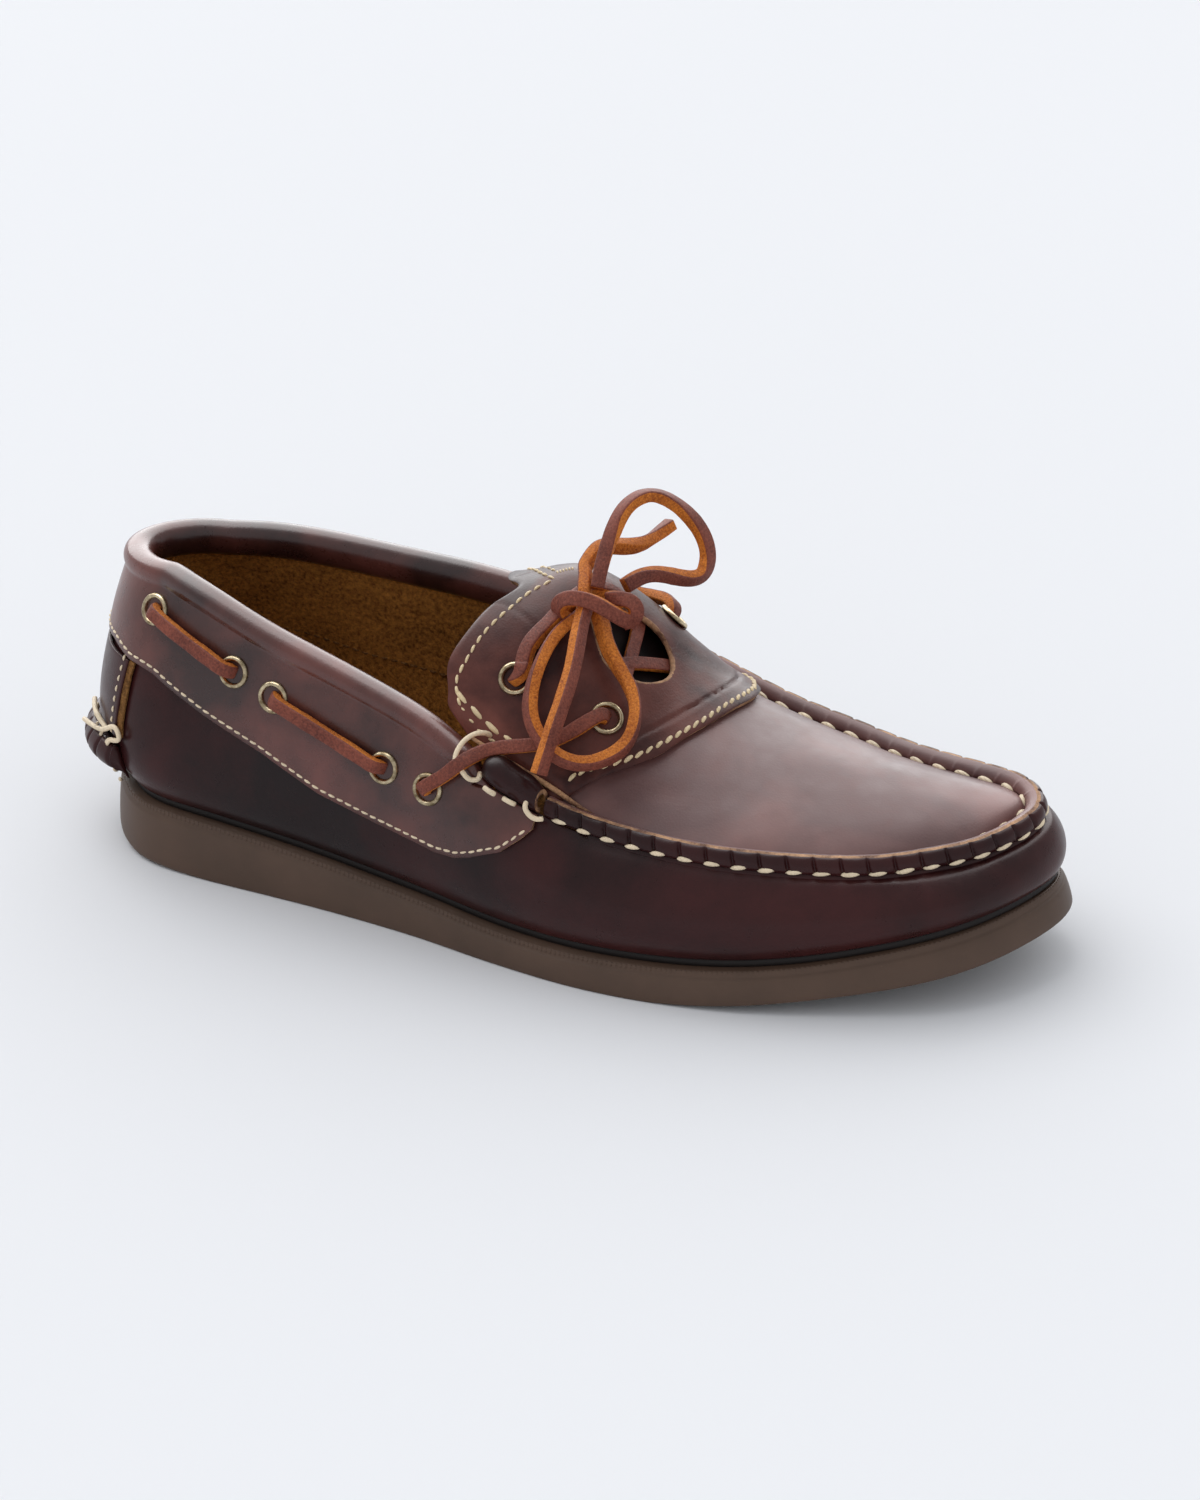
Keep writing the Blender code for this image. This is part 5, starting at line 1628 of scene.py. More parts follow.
@dataclass
class LaceStay:
    """Saddle over the instep with its keyhole, and the tongue under it."""

    last: Last
    sewing: Sewing
    thickness: float = 1.8
    clear: float = 0.5
    rows: int = 96
    across: int = 130
    tongue_span: tuple[float, float] = (118.0, 186.0)
    tongue_half: float = 0.66
    tongue_depth: float = 2.8

    def edge(self, across: Points, front: bool) -> Points:
        """Section of the rear or front edge at places across."""
        table = np.array(STAY)
        return natural_spline(table[:, 0], table[:, 2 if front else 1], across)[:, 0]

    def on_last(self, table: Table, count: int, height: float = 0.0) -> Points:
        """Smooth path through sections and places across, at a height over the last."""
        path = smooth_table(table, count)
        return self.last.instep_layer(self.last.station(path[:, 0]), path[:, 1], height)

    def relief(self, point: Points) -> Points:
        """Height of the saddle's creases, laps and soft swells.

        Args:
            point: Points on the instep.

        Returns:
            Height at each point.
        """
        height = ripple(point, 24.0, 3.0) * 0.22 + ripple(point, 11.0, 1.0) * 0.06
        for table, depth, width in ((CREASE, 0.55, 0.7), (LAPS[0], 0.35, 0.5), (LAPS[1], 0.35, 0.5)):
            path = self.on_last(table, 90)
            gap = np.linalg.norm(point[:, None, :] - path[None, :, :], axis=2).min(axis=1)
            height = height - depth * np.exp(-((gap / width) ** 2))
            height = height + 0.25 * depth * np.exp(-((gap / 2.4) ** 2))
        return height

    def saddle(self) -> None:
        """Leather saddle, cut through by the keyhole."""
        last = self.last
        half = STAY[-1][0]
        across = half * np.sin(np.linspace(-1.0, 1.0, self.across + 1) * 1.25) / math.sin(1.25)
        rear, front = self.edge(across, False), self.edge(across, True)
        low = 1.0 - 0.55 * smoothstep(np.abs(across), 0.93, 0.99)
        face = []
        for share in np.linspace(0.0, 1.0, self.rows + 1):
            x = rear + (front - rear) * share
            height = self.relief(last.instep(last.station(x), across))
            rim = 1.0 - 0.2 * math.exp(-((min(share, 1.0 - share) / 0.012) ** 2))
            level = (self.clear + self.thickness) * low * rim + height
            face.append(last.instep_layer(last.station(x), across, level))
        item = thicken(sheet("saddle", np.array(face)), self.thickness, 0.0, rim=1, inside=2)
        # The stay finish carries painted sheen in its lighter tone.
        finishes = [Finish.STAY, Finish.EDGE, Finish.LINING]
        coat(item, finishes)
        place, across = self.keyhole(96)
        rings = [last.instep_layer(place, across, height) for height in (-1.5, 5.0)]
        cutter = swept("keyhole_cutter", rings, kinds=[1] * len(place))
        coat(cutter, finishes[:2])
        cut = item.modifiers.new("keyhole", "BOOLEAN")
        cut.operation = "DIFFERENCE"
        cut.solver = "EXACT"
        cut.object = cutter
        soften(item, 0.3)
        baked(item)
        bpy.data.objects.remove(cutter)
        dress(item, finishes, ["lace_stay"])

    def keyhole(self, count: int) -> tuple[Points, Points]:
        """Stations and places across of points round the keyhole.

        Args:
            count: Number of points.

        Returns:
            Stations and places across.
        """
        knots = np.arange(len(KEYHOLE) + 1)
        shape = Loop(knots, np.array([*KEYHOLE, KEYHOLE[0]])).at(np.linspace(0.0, knots[-1], count + 1)[:-1])
        return self.last.station(shape[:, 0]), shape[:, 1]

    def keyhole_rim(self) -> None:
        """Fuzzy raw edge round the keyhole."""
        place, across = self.keyhole(192)
        out = self.last.instep_normal(place, across)
        middle = self.last.instep_layer(place, across, self.clear + 0.5 * self.thickness)
        middle = middle + out * self.relief(middle)[:, None]
        side = unit(np.cross(np.roll(middle, -1, axis=0) - np.roll(middle, 1, axis=0), out))
        fuzz = (1.0 + 0.12 * ripple(middle, 2.2, 9.0))[:, None]
        rings = oval_rings(middle, side * 0.7 * fuzz, out * 0.98 * fuzz, 10)
        dress(swept("keyhole_rim", rings, closed=True), [Finish.EDGE])

    def tongue(self) -> None:
        """Tongue on the last's instep."""
        last = self.last
        across = np.linspace(-self.tongue_half, self.tongue_half, 40)
        face = []
        for x in np.linspace(*self.tongue_span, 60):
            place = np.full(len(across), float(last.station(x)))
            soft = ripple(last.instep(place, across), 21.0, 6.0) * 0.15
            face.append(last.instep_layer(place, across, soft - self.tongue_depth))
        item = thicken(sheet("tongue_leather", np.array(face)), 1.9, 0.4, rim=1)
        # The tongue's finish is painted shade, near black for the shadow under the saddle.
        dress(item, [Finish.TONGUE, Finish.DARK_EDGE], ["tongue"])

    def stitches(self) -> None:
        """Rows along the front edge and the rear edges of the wings, and the hand tacks."""
        top = self.clear + self.thickness + 0.12
        made = [self.on_top(name, *row) for name, *row in (
            ("front_row", FRONT_ROW, 90, top, 3.4, 3.5, 1.2, 0.34),
            ("front_far", FAR_ROW, 90, top, 3.4, 3.5, 1.2, 0.34),
            ("wing_row", WING_ROW, 90, top, 3.3, 3.0, 0.95, 0.14),
            ("far_wing_row", mirror(WING_ROW), 90, top, 3.3, 3.0, 0.95, 0.14),
            ("far_wing_second", SECOND_ROW, 90, top, 3.3, 2.4, 0.8, 0.12))]
        for side in Side:
            hand, small = HAND_ROW, SMALL_ROW
            if side is Side.LATERAL:
                hand, small = mirror(hand), mirror(small)
            made.append(self.on_top("hand_row", hand, 40, top - 0.2, 6.6, 6.8, 1.6, 0.12 * side.value))
            made.append(self.on_top("small_row", small, 40, top - 0.45, 3.4, 3.2, 1.0, 0.2))
        made.append(self.on_top("tack", ((123.6, 0.13), (127.0, 0.2)), 20, top, 0.9, 2.2, 0.6, 1.3))
        dress(joined("stay_stitches", made), [Finish.FINE_THREAD])

    def on_top(self, name: str, table: Table, count: int, height: float, pitch: float,
               length: float, thick: float, slant: float) -> Piece:
        """Row of stitches on the saddle, through sections and places across.

        Args:
            name: Name of the piece.
            table: Sections and places across.
            count: Points of the path.
            height: Height over the last.
            pitch: Distance between stitches.
            length: Length of a stitch.
            thick: Thickness of the thread.
            slant: Turn of each stitch, in radians.

        Returns:
            The piece, not dressed yet.
        """
        path = self.on_last(table, count, height)
        out = unit(self.on_last(table, count, height + 1.0) - path)
        relief = self.relief(self.on_last(table, count))
        return self.sewing.row(name, path + out * relief[:, None], out, pitch, length, thick, slant)

    def build(self) -> None:
        """Build the saddle, the tongue and their stitches."""
        self.saddle()
        self.keyhole_rim()
        self.tongue()
        self.stitches()


# Lower edge of the collar band: section and rise up the wall.
BAND = (
    (0.0, 0.74), (8.0, 0.74), (15.5, 0.71), (26.0, 0.70), (45.0, 0.63), (65.0, 0.575), (85.0, 0.49),
    (104.0, 0.46), (116.0, 0.45), (125.0, 0.45), (132.0, 0.48), (137.0, 0.53), (146.0, 0.66), (151.0, 0.80),
    (154.0, 0.90),
)


@dataclass
class Collar:
    """Collar leather: flat band, padded roll and the lobe at its front."""

    last: Last
    sewing: Sewing
    front: float = 154.0
    roll_front: float = 131.0
    lobe_start: float = 141.0
    clear: float = 0.5
    thickness: float = 1.6
    band_points: int = 16
    roll_points: int = 30
    roll: Table = ((-2.6, 2.1), (-0.4, 3.3), (2.4, 3.1), (4.5, 0.7), (4.7, -2.6), (2.5, -5.0), (-1.2, -5.8),
                   (-4.6, -4.7), (-6.2, -2.9))

    def lower(self, x: Points) -> Points:
        """Rise of the band's lower edge."""
        return np.interp(x, *np.array(BAND).T)

    def cuff(self) -> None:
        """One piece of leather from the band's lower edge over the roll."""
        last = self.last
        roll = smooth_table(self.roll, self.roll_points)
        end = float(last.station(self.front))
        rings = [self.section(float(column), roll) for column in np.linspace(-end, end, 460)]
        outer = self.band_points + self.roll_points - 1
        kinds = [0] * outer + [1] * (len(rings[0]) - outer - 1) + [2]
        item = swept("collar", rings, kinds=kinds, caps=2)
        dress(item, [Finish.COLLAR, Finish.LINING, Finish.EDGE], ["collar_band", "collar_roll"])

    def section(self, column: float, roll: Points) -> Points:
        """Closed cross-section at a column.

        Args:
            column: Place on the ring.
            roll: Section of the roll over the wall's top edge.

        Returns:
            Points round the section.
        """
        last = self.last
        here = np.array([column])
        x = float(last.section(column))
        top = last.wall(here, 1.0)[0]
        up = top - last.wall(here, 0.95)[0]
        length = np.linalg.norm(up) / 0.05
        up /= np.linalg.norm(up)
        fold = float(smoothstep(x, self.roll_front, self.lobe_start))
        foot = 3.0 * (1.0 - fold) + 0.8 * fold
        high = 1.0 - foot / length
        outside = self.clear + self.thickness
        rises = np.linspace(float(self.lower(x)), high, self.band_points)
        place = np.full(self.band_points, column)
        bulge = 0.25 * np.sin(math.pi * np.linspace(0.0, 1.0, self.band_points))
        flat = last.wall_layer(place, rises, outside + bulge)
        closed = np.column_stack([np.full(len(roll), -foot + 0.3),
                                  np.linspace(outside, self.clear, len(roll))])
        shape = roll * (1.0 - fold) + closed * fold
        if fold >= 1.0:
            inner = [(-foot, self.clear)] * 3
        else:
            tuck = 0.5 - foot * fold
            inner = [(tuck, -2.8 * (1.0 - fold) + self.clear * fold), (tuck, self.clear), (-2.9, self.clear)]
        shape = np.vstack([shape, inner])
        rise = [1.0 + min(u, 0.0) / length for u in shape[:, 0]]
        around = last.wall_layer(np.full(len(shape), column), rise, shape[:, 1])
        around = around + up * np.clip(shape[:, 0], 0.0, None)[:, None]
        inside = last.wall_layer(place[::-1], rises[::-1], self.clear)
        return np.vstack([flat, around, inside])

    def stitches(self) -> None:
        """Row along the band's lower edge."""
        last = self.last
        end = float(last.station(self.front - 2.5))
        column = np.linspace(-end, end, 420)
        rise = self.lower(last.section(column)) + 1.9 / last.wall_length(column)
        path = last.wall_layer(column, rise, self.clear + self.thickness + 0.12)
        row = self.sewing.row("collar_row", path, last.wall_normal(column, rise), 2.9, 2.65, 0.74, 0.08)
        dress(row, [Finish.THREAD])

    def build(self) -> None:
        """Build the cuff and its stitches."""
        self.cuff()
        self.stitches()


# Section of the heel's bead: rise up the wall and height over it.
BEAD = (
    (0.07, 0.0), (0.075, 0.9), (0.13, 1.6), (0.165, 4.8), (0.205, 7.0), (0.255, 6.6), (0.31, 3.2),
    (0.30, 0.0),
)

# Threads at the bead's ends: section, rise up the wall and height over it.
HEEL_THREADS = (
    (
        (5.0, 0.31, 6.6), (8.0, 0.335, 4.2), (12.0, 0.37, 2.7), (16.2, 0.41, 2.2), (17.0, 0.385, 2.2),
        (13.6, 0.33, 2.2), (11.6, 0.275, 2.4), (11.0, 0.235, 2.2), (11.6, 0.195, 0.8),
    ),
    ((4.6, 0.40, 3.0), (7.2, 0.395, 3.2), (9.8, 0.38, 2.6), (12.0, 0.365, 2.0)),
)


@dataclass
class Heel:
    """Back panel and the puckered bead across it."""

    last: Last
    sewing: Sewing
    reach: float = 5.0 / 3.0
    clear: float = 0.5
    thickness: float = 1.0
    low: float = 0.36
    high: float = 0.70
    strip: float = 2.5
    pucker: float = 6.0

    def panel(self) -> None:
        """Panel over the back seam."""
        last = self.last
        column = np.linspace(-self.reach, self.reach, 70)
        rows = [last.wall_layer(column, rise, self.clear + self.thickness)
                for rise in np.linspace(self.low, self.high, 24)]
        item = thicken(sheet("back_panel", np.stack(rows, axis=1)), self.thickness, 0.25)
        dress(item, [Finish.WALL], ["heel_panel"])

    def bead(self) -> None:
        """Bead with puckers."""
        last = self.last
        column = np.linspace(-self.reach, self.reach, 260)
        along = arc_lengths(last.wall(column, 0.2))
        turn = np.mod(along / self.pucker, 1.0)
        crease = np.exp(-((turn - 0.5) / 0.09) ** 2)
        taper = 1.0 - 0.55 * np.abs(column / self.reach) ** 3
        sections = []
        for rise, out in [*smooth_table(BEAD[:-1], 22), BEAD[-1]]:
            height = np.clip(out, 0.0, 7.4) * taper
            depth = 0.9 * np.clip(out / 7.0, 0.0, 1.0)
            sections.append(last.wall_layer(column, rise, self.clear + height - depth * crease + 0.2 * depth))
        item = swept("back_bead", np.stack(sections, axis=1))
        dress(item, [Finish.WALL], ["heel_ridge"])

    def stitches(self) -> None:
        """Rows down the panel's sides and thick thread across the bead."""
        last = self.last
        rows = []
        rise = np.linspace(self.low + 0.02, self.high, 40)
        for side, name in ((-1.0, "medial_side"), (1.0, "lateral_side")):
            column = np.full(len(rise), side * (self.reach - 0.13))
            path = last.wall_layer(column, rise, self.clear + self.thickness + 0.1)
            rows.append(self.sewing.row(name, path, last.wall_normal(column, rise), 3.0, 2.2, 0.75, 0.05))
        column = np.linspace(-self.reach + 0.1, self.reach - 0.1, 120)
        for rise_at, height, name in ((0.315, 2.6, "bead_top"), (0.075, 2.6, "bead_foot")):
            path = last.wall_layer(column, rise_at, self.clear + height)
            out = last.wall_normal(column, rise_at)
            rows.append(self.sewing.row(name, path, out, self.pucker, 3.6, 1.1, 0.9, 0.1))
        dress(joined("heel_stitches", rows), [Finish.THREAD])

    def strips(self) -> None:
        """Raw suede that shows beside the panel."""
        last = self.last
        made = []
        pair = last.wall(np.array([self.reach, self.reach + 0.1]), 0.5)
        reach = self.reach + 0.1 * self.strip / np.linalg.norm(pair[1] - pair[0])
        for side in (-1.0, 1.0):
            column = side * np.linspace(self.reach - 0.05, reach, 8)
            rows = [last.wall_layer(column, rise, 0.95 + 0.12 * ripple(last.wall(column, rise), 3.0, 2.0))
                    for rise in np.linspace(self.low + 0.01, self.high, 60)]
            made.append(thicken(sheet("strip", np.stack(rows, axis=1)), 0.8, 0.2))
            baked(made[-1])
        dress(joined("heel_strips", made), [Finish.STRIP])

    def threads(self) -> None:
        """Thick thread that ties the bead's ends down."""
        last = self.last
        made = []
        for side in Side:
            for table in HEEL_THREADS:
                knots = [last.wall_layer(last.column(x, side), rise, height)[0] for x, rise, height in table]
                made.append(thick_thread(knots, 1.5))
        dress(joined("heel_threads", made), [Finish.THREAD])

    def build(self) -> None:
        """Build the back of the shoe."""
        self.panel()
        self.strips()
        self.bead()
        self.stitches()
        self.threads()


# Eyelets: section, and rise up the wall or place across.
COLLAR_EYELETS = ((20.5, 0.90), (54.0, 0.84), (68.0, 0.82), (106.4, 0.75), (121.5, 0.77))
STAY_EYELETS = ((158.9, 0.61), (129.8, 0.71))
# Rolled tab: section and radius.  Threads: origin, and offsets right, up and near.
TAB = ((137.6, 3.4), (140.5, 4.5), (146.0, 4.6), (150.5, 4.4), (154.5, 3.4))
TAB_REAR = (131.0, -42.5, 61.0)
TAB_FRONT = (150.0, -44.5, 54.0)
TAB_THREADS = (
    (TAB_REAR, (
        (8.8, 5.4, -3.0), (6.6, 6.9, 0.0), (3.7, 6.9, 2.0), (0.5, 5.0, 3.5), (-1.7, 1.9, 4.5),
        (-2.2, -0.9, 5.0), (-0.4, -3.8, 4.5), (1.8, -6.1, 4.0), (4.0, -6.1, 4.0), (4.8, -4.2, 3.0),
    )),
    (TAB_FRONT, ((1.4, -1.8, 3.0), (1.0, -3.7, 4.0), (2.0, -5.6, 4.0), (4.1, -6.9, 3.5), (6.0, -6.9, 3.0))),
    (TAB_FRONT, ((-10.6, 2.1, 2.4), (-9.3, 1.1, 3.2), (-7.7, 0.2, 2.4))),
    (TAB_FRONT, ((-5.2, -1.0, 2.4), (-3.7, -1.9, 3.2), (-2.0, -2.7, 2.4))),
)
# Raw edge beside the tab: section, place across, height and half width.
SEAM_EDGE = (
    (127.5, -0.985, 1.4, 0.45), (133.0, -0.975, 1.9, 0.6), (140.0, -0.968, 2.2, 0.68),
    (147.0, -0.965, 2.3, 0.68), (155.0, -0.967, 2.0, 0.62), (162.0, -0.978, 1.2, 0.5),
    (168.0, -0.988, 0.6, 0.35),
)
SIDE_NAMES = ("lateral", "medial")
EYELET_NODES = [f"eyelet_{side}_{i}" for side in SIDE_NAMES for i in range(1, 6)]
EYELET_NODES += [f"eyelet_stay_{side}_{place}" for side in SIDE_NAMES for place in ("lower", "upper")]


@dataclass
class Eyelets:
    """Brass eyelets in the collar and in the saddle."""

    last: Last
    collar_seat: float = 2.15
    stay_seat: float = 2.35
    profile: Table = ((3.15, -1.3), (3.2, -0.2), (3.4, 0.6), (3.75, 1.1), (4.2, 1.25), (4.65, 1.0),
                      (4.9, 0.5), (4.95, 0.0), (4.2, -0.1), (3.4, -1.2))
    bore: float = 3.1
    sides: int = 28

    def places(self) -> tuple[Points, Points]:
        """Centres and outward normals of all the eyelets.

        Returns:
            The centres and the unit normals.
        """
        last = self.last
        centres, normals = [], []
        for side in Side:
            for x, rise in COLLAR_EYELETS:
                column = last.column(x, side)
                centres.append(last.wall_layer(column, rise, self.collar_seat)[0])
                normals.append(last.wall_normal(column, rise)[0])
            for x, across in STAY_EYELETS:
                centres.append(last.spot(x, side.value * across, self.stay_seat))
                normals.append(last.instep_normal(last.station([x]), side.value * across)[0])
        return np.array(centres), np.array(normals)

    def spread(self, name: str, part: Piece, finish: Finish,
               nodes: Sequence[str]) -> None:
        """Set a copy of a part at every eyelet.

        Args:
            name: Name of the piece.
            part: The part, which is taken away.
            finish: Its finish.
            nodes: CAD nodes that the piece stands for.
        """
        centres, normals = self.places()
        item = mesh_object(name, centres, [])
        mark_points(item, "out", normals)
        mark_points(item, "along", np.cross(normals, UP))
        copies_tree().run(item, Part=part, Material=stuff(finish))
        bpy.data.objects.remove(part)
        dress(item, [finish], nodes)

    def build(self) -> None:
        """Build the rings and the near-black discs that paint the shade inside the bores."""
        turns = full_turn(self.sides)
        rings = [[(radius * math.cos(t) + HALF_LENGTH, radius * math.sin(t), z) for radius, z in self.profile]
                 for t in turns]
        self.spread("eyelets", swept("eyelet", rings, closed=True), Finish.BRASS, EYELET_NODES)
        # Near-black discs set inside the bores: painted shade of the holes.
        disc = [[(self.bore * math.cos(t) + HALF_LENGTH, self.bore * math.sin(t), z) for t in turns]
                for z in (-1.2, -0.7)]
        self.spread("eyelet_bores", swept("bore", disc), Finish.BORE, [])


# Routes of the bow's free lengths, in millimetres from the heel.
CORDS = {
    "lace_knot": (
        (143.0, -27.6, 84.8), (142.6, -23.5, 90.2), (145.6, -17.6, 95.6), (149.0, -11.0, 100.0),
        (152.5, -4.0, 102.0), (157.0, 1.8, 99.6), (160.8, 4.4, 95.0),
    ),
    "lace_loop_hanging": (
        (154.2, -9.8, 97.0), (150.6, -17.1, 94.1), (149.2, -24.9, 90.5), (148.9, -32.8, 84.6),
        (150.4, -38.9, 77.8), (154.8, -42.1, 71.8), (160.4, -42.7, 67.6), (167.0, -41.1, 65.8),
        (172.8, -37.5, 66.8), (176.8, -32.1, 69.6), (177.0, -25.7, 74.6), (173.6, -19.7, 79.7),
        (168.0, -16.0, 84.7), (163.2, -13.0, 89.3), (159.4, -8.6, 93.6),
    ),
    "lace_loop_upper": (
        (157.4, -7.2, 103.8), (157.0, -2.4, 109.6), (157.8, 4.3, 117.6), (159.6, 9.4, 122.8),
        (163.1, 15.2, 124.5), (166.4, 19.9, 122.4), (171.2, 25.2, 116.3), (175.3, 28.0, 108.9),
        (177.5, 26.8, 101.9), (177.2, 23.4, 98.6), (174.8, 18.0, 99.1), (170.4, 11.8, 102.2),
        (166.3, 5.7, 103.8), (162.9, 0.2, 102.4),
    ),
    "lace_end_front": (
        (156.7, -13.3, 101.8), (158.2, -21.5, 97.3), (159.9, -29.9, 90.6), (160.2, -38.6, 82.6),
        (159.4, -45.9, 74.0), (158.3, -51.0, 65.4),
    ),
    "lace_end_back": (
        (150.8, 0.0, 106.8), (152.3, 6.3, 109.6), (156.4, 12.4, 108.4), (160.4, 19.5, 107.0),
        (162.4, 25.8, 107.6), (164.2, 30.9, 108.9),
    ),
}


class CordPlan(NamedTuple):
    """How one free length of lace ends and lies, and which way its grain side faces, from end to end."""

    far_end: str
    lay: str
    grain: tuple[tuple[float, float, float], ...]
    lean: tuple[float, float, float] = (0.0, 0.0, 0.0)


CORD_PLANS = {
    "lace_knot": CordPlan("object", "taut", (
        (-0.3, 0.5, 0.8), (-0.3, 0.6, 0.8), (0.0, 0.8, 0.6),
    ), (0.6, -1.2, 0.0)),
    "lace_loop_hanging": CordPlan("knot", "hanging", (
        (-1.0, 0.2, 0.3), (-1.0, 0.0, 0.3), (-1.0, -0.3, 0.35), (-0.5, -1.0, 0.55), (0.2, -1.0, 0.6),
        (0.8, -0.6, 0.4), (1.0, -0.1, 0.15), (1.0, 0.2, -0.1), (0.9, 0.2, -0.4), (0.7, 0.1, -0.7),
    )),
    "lace_loop_upper": CordPlan("knot", "loose", (
        (0.1, 0.0, 1.0), (-0.1, 0.2, 1.0), (-0.5, 0.6, 0.6), (0.0, 1.0, 0.3), (0.8, 0.6, 0.3),
        (1.0, -0.2, 0.4), (0.6, -0.8, 0.6), (0.1, -0.8, 0.7), (0.0, -0.5, 1.0), (0.0, -0.3, 1.0),
    )),
    "lace_end_front": CordPlan("bare", "hanging", ((0.8, 0.2, 0.6), (0.75, 0.1, 0.65), (0.7, 0.0, 0.7))),
    "lace_end_back": CordPlan("bare", "loose", ((-1.0, 0.3, -0.6), (-0.8, 0.6, -0.2), (-0.2, 1.0, 0.3))),
}
# Turns of the knot: offsets right, up and near.
WRAP = (
    (-6.0, -5.6, 1.5), (-8.8, -4.2, 4.0), (-8.9, -1.9, 6.8), (-6.5, -0.6, 9.2), (-3.4, -0.6, 10.6),
    (0.2, -1.5, 11.0), (3.6, -3.2, 10.4), (7.0, -5.2, 9.0), (10.0, -6.6, 7.0), (12.2, -6.6, 4.5),
)
KNOB = (
    (5.2, -0.4, 4.0), (7.6, -0.5, 6.4), (10.2, -1.0, 7.4), (12.4, -2.6, 7.4), (12.8, -4.8, 7.0),
    (11.4, -6.5, 6.0), (9.3, -7.2, 5.0),
)
STEM = (
    (-1.8, -3.0, 4.0), (-1.8, 0.5, 3.6), (-1.7, 3.5, 1.6), (-1.5, 6.5, -1.0), (-1.44, 9.34, -3.2),
    (-0.3, 11.0, -4.2),
)
LEFT_ROOT = ((-5.4, -6.6, 3.1), (-2.26, -4.12, 1.42), (0.2, -2.2, 0.2), (2.0, -1.2, -0.6))
RIGHT_ROOT = ((3.6, -9.9, 1.8), (2.99, -7.59, 0.73), (2.4, -5.4, -0.3), (1.9, -3.4, -1.0))
KNOT_AT = (155.0, -6.0, 100.0)
# Strands of the knot: route, way the grain side faces, width and thickness.
STRANDS = (
    (WRAP, ((-0.9, -0.2, 0.3), (-0.3, 0.2, 1.0), (0.0, -0.3, 1.0), (0.3, -0.4, 0.9)), 4.4, 3.0),
    (KNOB, ((0.0, -0.2, 1.0), (0.3, 0.1, 1.0), (0.5, -0.3, 0.9)), 4.2, 2.9),
    (STEM, ((-1.0, 0.2, -0.5), (-1.0, 0.3, -0.6)), 4.1, 3.5),
    (LEFT_ROOT, ((-1.0, 0.2, 0.3), (-1.0, 0.2, 0.3)), 4.1, 3.5),
    (RIGHT_ROOT, ((0.7, 0.1, -0.7), (0.7, 0.1, -0.7)), 4.1, 3.5),
)
# Bars under the keyhole: section and place across at both ends, and thickness.
BARS = ((147.0, -0.46, 173.0, 0.27, 1.9), (151.0, 0.36, 159.5, -0.46, 1.6))
BAR_HEIGHT = -0.8
# The front lace over the tab (section, inset, lift) and over the saddle (section, place across, height).
OVER_TAB = ((127.0, -6.8, -4.4), (131.2, -5.4, 2.0), (135.8, 1.6, 7.4))
OVER_STAY = ((141.5, 0.9, 6.2), (150.5, 0.79, 5.6))


